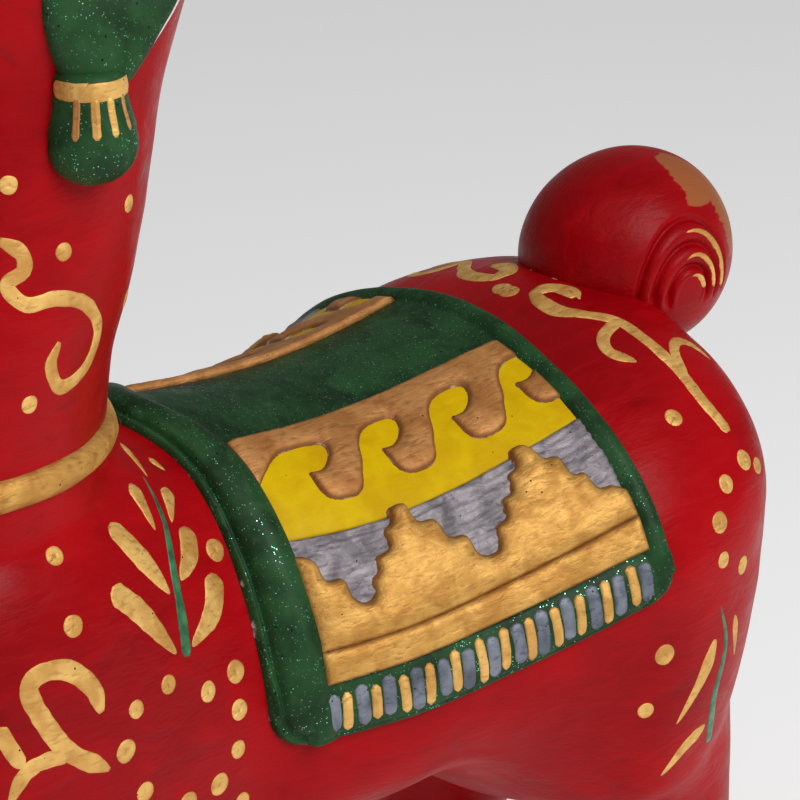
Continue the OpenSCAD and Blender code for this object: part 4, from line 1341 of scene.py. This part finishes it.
def tassel(side, name):
    """Gathered end of the flap: a smooth bulb below a painted band, with strokes that hang from it."""
    centre = sided(TASSEL, side)
    outline = [(6.2 * math.cos(t), 5.5 * math.sin(t)) for t in np.radians(np.linspace(-89, 12, 34))]
    outline += [(5.95, 2.4), (5.6, 3.7), (5.25, 5.0), (5.0, 6.2), (4.9, 7.2), (4.9, 8.3), (4.85, 9.3),
                (4.0, 10.2), (1.5, 10.5)]
    turn = circle(120)
    rings = []
    for r, z in outline:
        strands = 0.05 * np.cos(9 * turn) * max(0, min(1, (z + 3) / 3)) * (z < 4.6)
        p = centre + np.stack([(r + strands) * np.cos(turn), (r + strands) * np.sin(turn), z + 0 * turn], -1)
        rings.append(p + (0.12 * rough(p, 4, 51))[:, None])
    points, faces = skin(rings)
    piece(new_object(f"{name}_carved", points, faces, GREEN, {"edge": np.zeros(len(points))}),
          "green_glitter_paint", name)
    tree = tree_of(points, faces)
    band = [centre + sided((TASSEL_BAND_R * math.sin(a), TASSEL_BAND_R * math.cos(a), TASSEL_BAND_LIFT), side)
            for a in np.radians(np.linspace(-100, 100, 11))]
    stroke("gold", tree, band, 2.7, head=0.03, tail=0.03, crown=0.16)
    marks = ((54, 1.3, "bronze", 1.05), (26, 1.4, "gold", 1.25), (1, 1.5, "gold", 1.15),
             (-25, 1.9, "bronze", 0.75))
    for turn_at, low, group, width in marks:
        a = math.radians(turn_at)
        route = [centre + sided((r * math.sin(a), r * math.cos(a), z), side)
                 for r, z in ((TASSEL_BAND_R, 7.2), (5.3, 4.6), (5.9, low + 0.6))]
        stroke(group, tree, route, width, head=0.03, tail=0.05, crown=0.12)


for side, word in ((1, "left"), (-1, "right")):
    earflap(side, f"earflap_{word}")
    tassel(side, f"tassel_{word}")


# ---- face ----

EYE = (72.5, 17.5, 230.5)


def face():
    """A plain painted face: eyes with lids and lashes, nostrils, mouth, and a gold line on the cheek."""
    for flip in (1, -1):
        eye = sided(EYE, flip)
        dot("white", BODY_TREE, eye, 3.8, 0.7, 0.8)
        dot("dark", BODY_TREE, eye + np.array([0.7, 0, 0]), 2.7, 1.25, 0.95)
        # A small white dot on the pupil: painted highlight
        dot("white", BODY_TREE, eye + np.array([1.7, 0, 0.9]), 0.5, 1.75)
        lid = [eye + np.array([dx, 0, dz]) for dx, dz in ((-4.4, -0.4), (-2, 2.6), (1.4, 3.0), (4.2, 0.6))]
        stroke("dark", BODY_TREE, lid, 0.9, head=0.3, tail=0.4, crown=0.4)
        for k in range(3):
            root = eye + np.array([-3.6 + 1.3 * k, 0, 1.2 + 0.9 * k])
            lash = [root, root + np.array([-1.0, 0, 1.1]), root + np.array([-1.6, 0, 2.3])]
            stroke("dark", BODY_TREE, lash, 0.5, head=0.3, tail=0.8, crown=0.25)
        nostril = [(93.4, flip * 3.2, 226.4), (94.5, flip * 4.4, 225.2), (93.6, flip * 5.6, 224.2)]
        stroke("dark", BODY_TREE, nostril, 1.2, head=0.4, tail=0.5, crown=0.2)
        mouth = [(95.5, 0, 218.6), (94, flip * 5, 218.8), (89, flip * 10, 219.2), (83, flip * 13, 221)]
        stroke("dark", BODY_TREE, mouth, 0.8, head=0.05, tail=0.6, crown=0.25)
        stroke("gold", BODY_TREE, [(60, flip * 26, 226), (66, flip * 24, 221), (73, flip * 19, 219)], 1.7,
               head=0.2, tail=0.7)
    parting = [(95.5, 0, 222.6), (95.7, 0, 220.5), (95.5, 0, 218.6)]
    stroke("dark", BODY_TREE, parting, 0.7, head=0.3, tail=0.3, crown=0.2)


face()

# Material, finish and name of the one piece that each kind of brushwork becomes. The white one holds
# the whites of the eyes, the painted highlight dot in each eye and the painted highlight along the flaps'
# rear edges.
GROUPS = {
    "gold": (GOLD_BRUSH_WITH_PAINTED_HIGHLIGHT, "gold_paint", "gold_brushwork"),
    "bronze": (BRONZE, "bronze_paint", "bronze_brushwork"),
    "silver": (SILVER_BRUSH, "silver_paint", "silver_fringe_strokes"),
    "stem": (STEM, "green_glitter_paint", "green_stems"),
    "white": (WHITE, "silver_paint", "eye_whites_and_painted_highlights"),
    "dark": (DARK, "bronze_paint", "dark_face_lines"),
}
for group, parts in STROKES.items():
    material, slot, name = GROUPS[group]
    points, faces = joined(parts)
    brushwork = new_object(name, points, faces, material)
    turn_faces_out(brushwork.data)
    piece(brushwork, slot)


# ---- CAD pieces that keep their own shape ----

DOWELS = ("leg_dowels", "neck_dowel", "head_dowel", "tail_dowel")
for material, nodes in ((WOOD, DOWELS), (FELT, ("felt_pads",))):
    for node in nodes:
        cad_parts[node].data.materials.clear()
        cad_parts[node].data.materials.append(material)


# ---- floor, light, camera ----

FLOOR_REACH = 6000.0
PAPER_WHITE = 0.88
PAPER_GLOW = 0.33
SKY_GLOW = 0.2
# Bearing from the camera's, height angle, distance in mm, size in metres, power in watts
LIGHTS = {"key": (44, 42, 900, 0.45, 5.3), "fill": (-10, 62, 1000, 0.8, 1.1)}


def stage():
    """A sheet of pale paper that glows a little, and an even dim surround."""
    paper = Shader("paper", Base_Color=(PAPER_WHITE, PAPER_WHITE, PAPER_WHITE, 1), Roughness=0.9,
                   Emission_Color=(1, 1, 1, 1), Emission_Strength=PAPER_GLOW).material
    corners = [(a * FLOOR_REACH, b * FLOOR_REACH, 0) for a, b in ((-1, -1), (1, -1), (1, 1), (-1, 1))]
    floor = new_object("floor", corners, [(0, 1, 2, 3)], paper)
    world = bpy.data.worlds.new("studio")
    bpy.context.scene.world = world
    world.use_nodes = True
    sky = world.node_tree.nodes["Background"]
    sky.inputs["Color"].default_value = (1, 1, 1, 1)
    sky.inputs["Strength"].default_value = SKY_GLOW
    bpy.context.scene.view_settings.view_transform = "Standard"


def area_light(name, place, aim, size, power):
    data = bpy.data.lights.new(name, "AREA")
    data.shape = "SQUARE"
    data.size = size
    data.energy = power
    obj = bpy.data.objects.new(name, data)
    obj.location = place
    obj.rotation_euler = (Vector(aim) - Vector(place)).to_track_quat("-Z", "Y").to_euler()
    bpy.context.scene.collection.objects.link(obj)


LENS = 135
SENSOR = 36
AZIMUTH, ELEVATION = 50.3, 21.81
DISTANCE = 478.0
TARGET = (-26.46, 0.0, 128.2)


def around(azimuth, elevation, distance):
    """Place in metres at that bearing, height angle and distance from the target."""
    a, e = math.radians(azimuth), math.radians(elevation)
    return tuple(MM * (TARGET[k] + distance * v) for k, v in enumerate(
        (math.cos(e) * math.cos(a), math.cos(e) * math.sin(a), math.sin(e))))


def camera():
    data = bpy.data.cameras.new("camera")
    data.lens = LENS
    data.sensor_width = SENSOR
    data.clip_start = 0.01
    obj = bpy.data.objects.new("camera", data)
    obj.location = around(AZIMUTH, ELEVATION, DISTANCE)
    aim = Vector(TARGET) * MM
    obj.rotation_euler = (aim - obj.location).to_track_quat("-Z", "Y").to_euler()
    bpy.context.scene.collection.objects.link(obj)
    bpy.context.scene.camera = obj


stage()
aim = tuple(MM * v for v in TARGET)
for name, (bearing, height, distance, size, power) in LIGHTS.items():
    area_light(name, around(AZIMUTH + bearing, height, distance), aim, size, power)
camera()
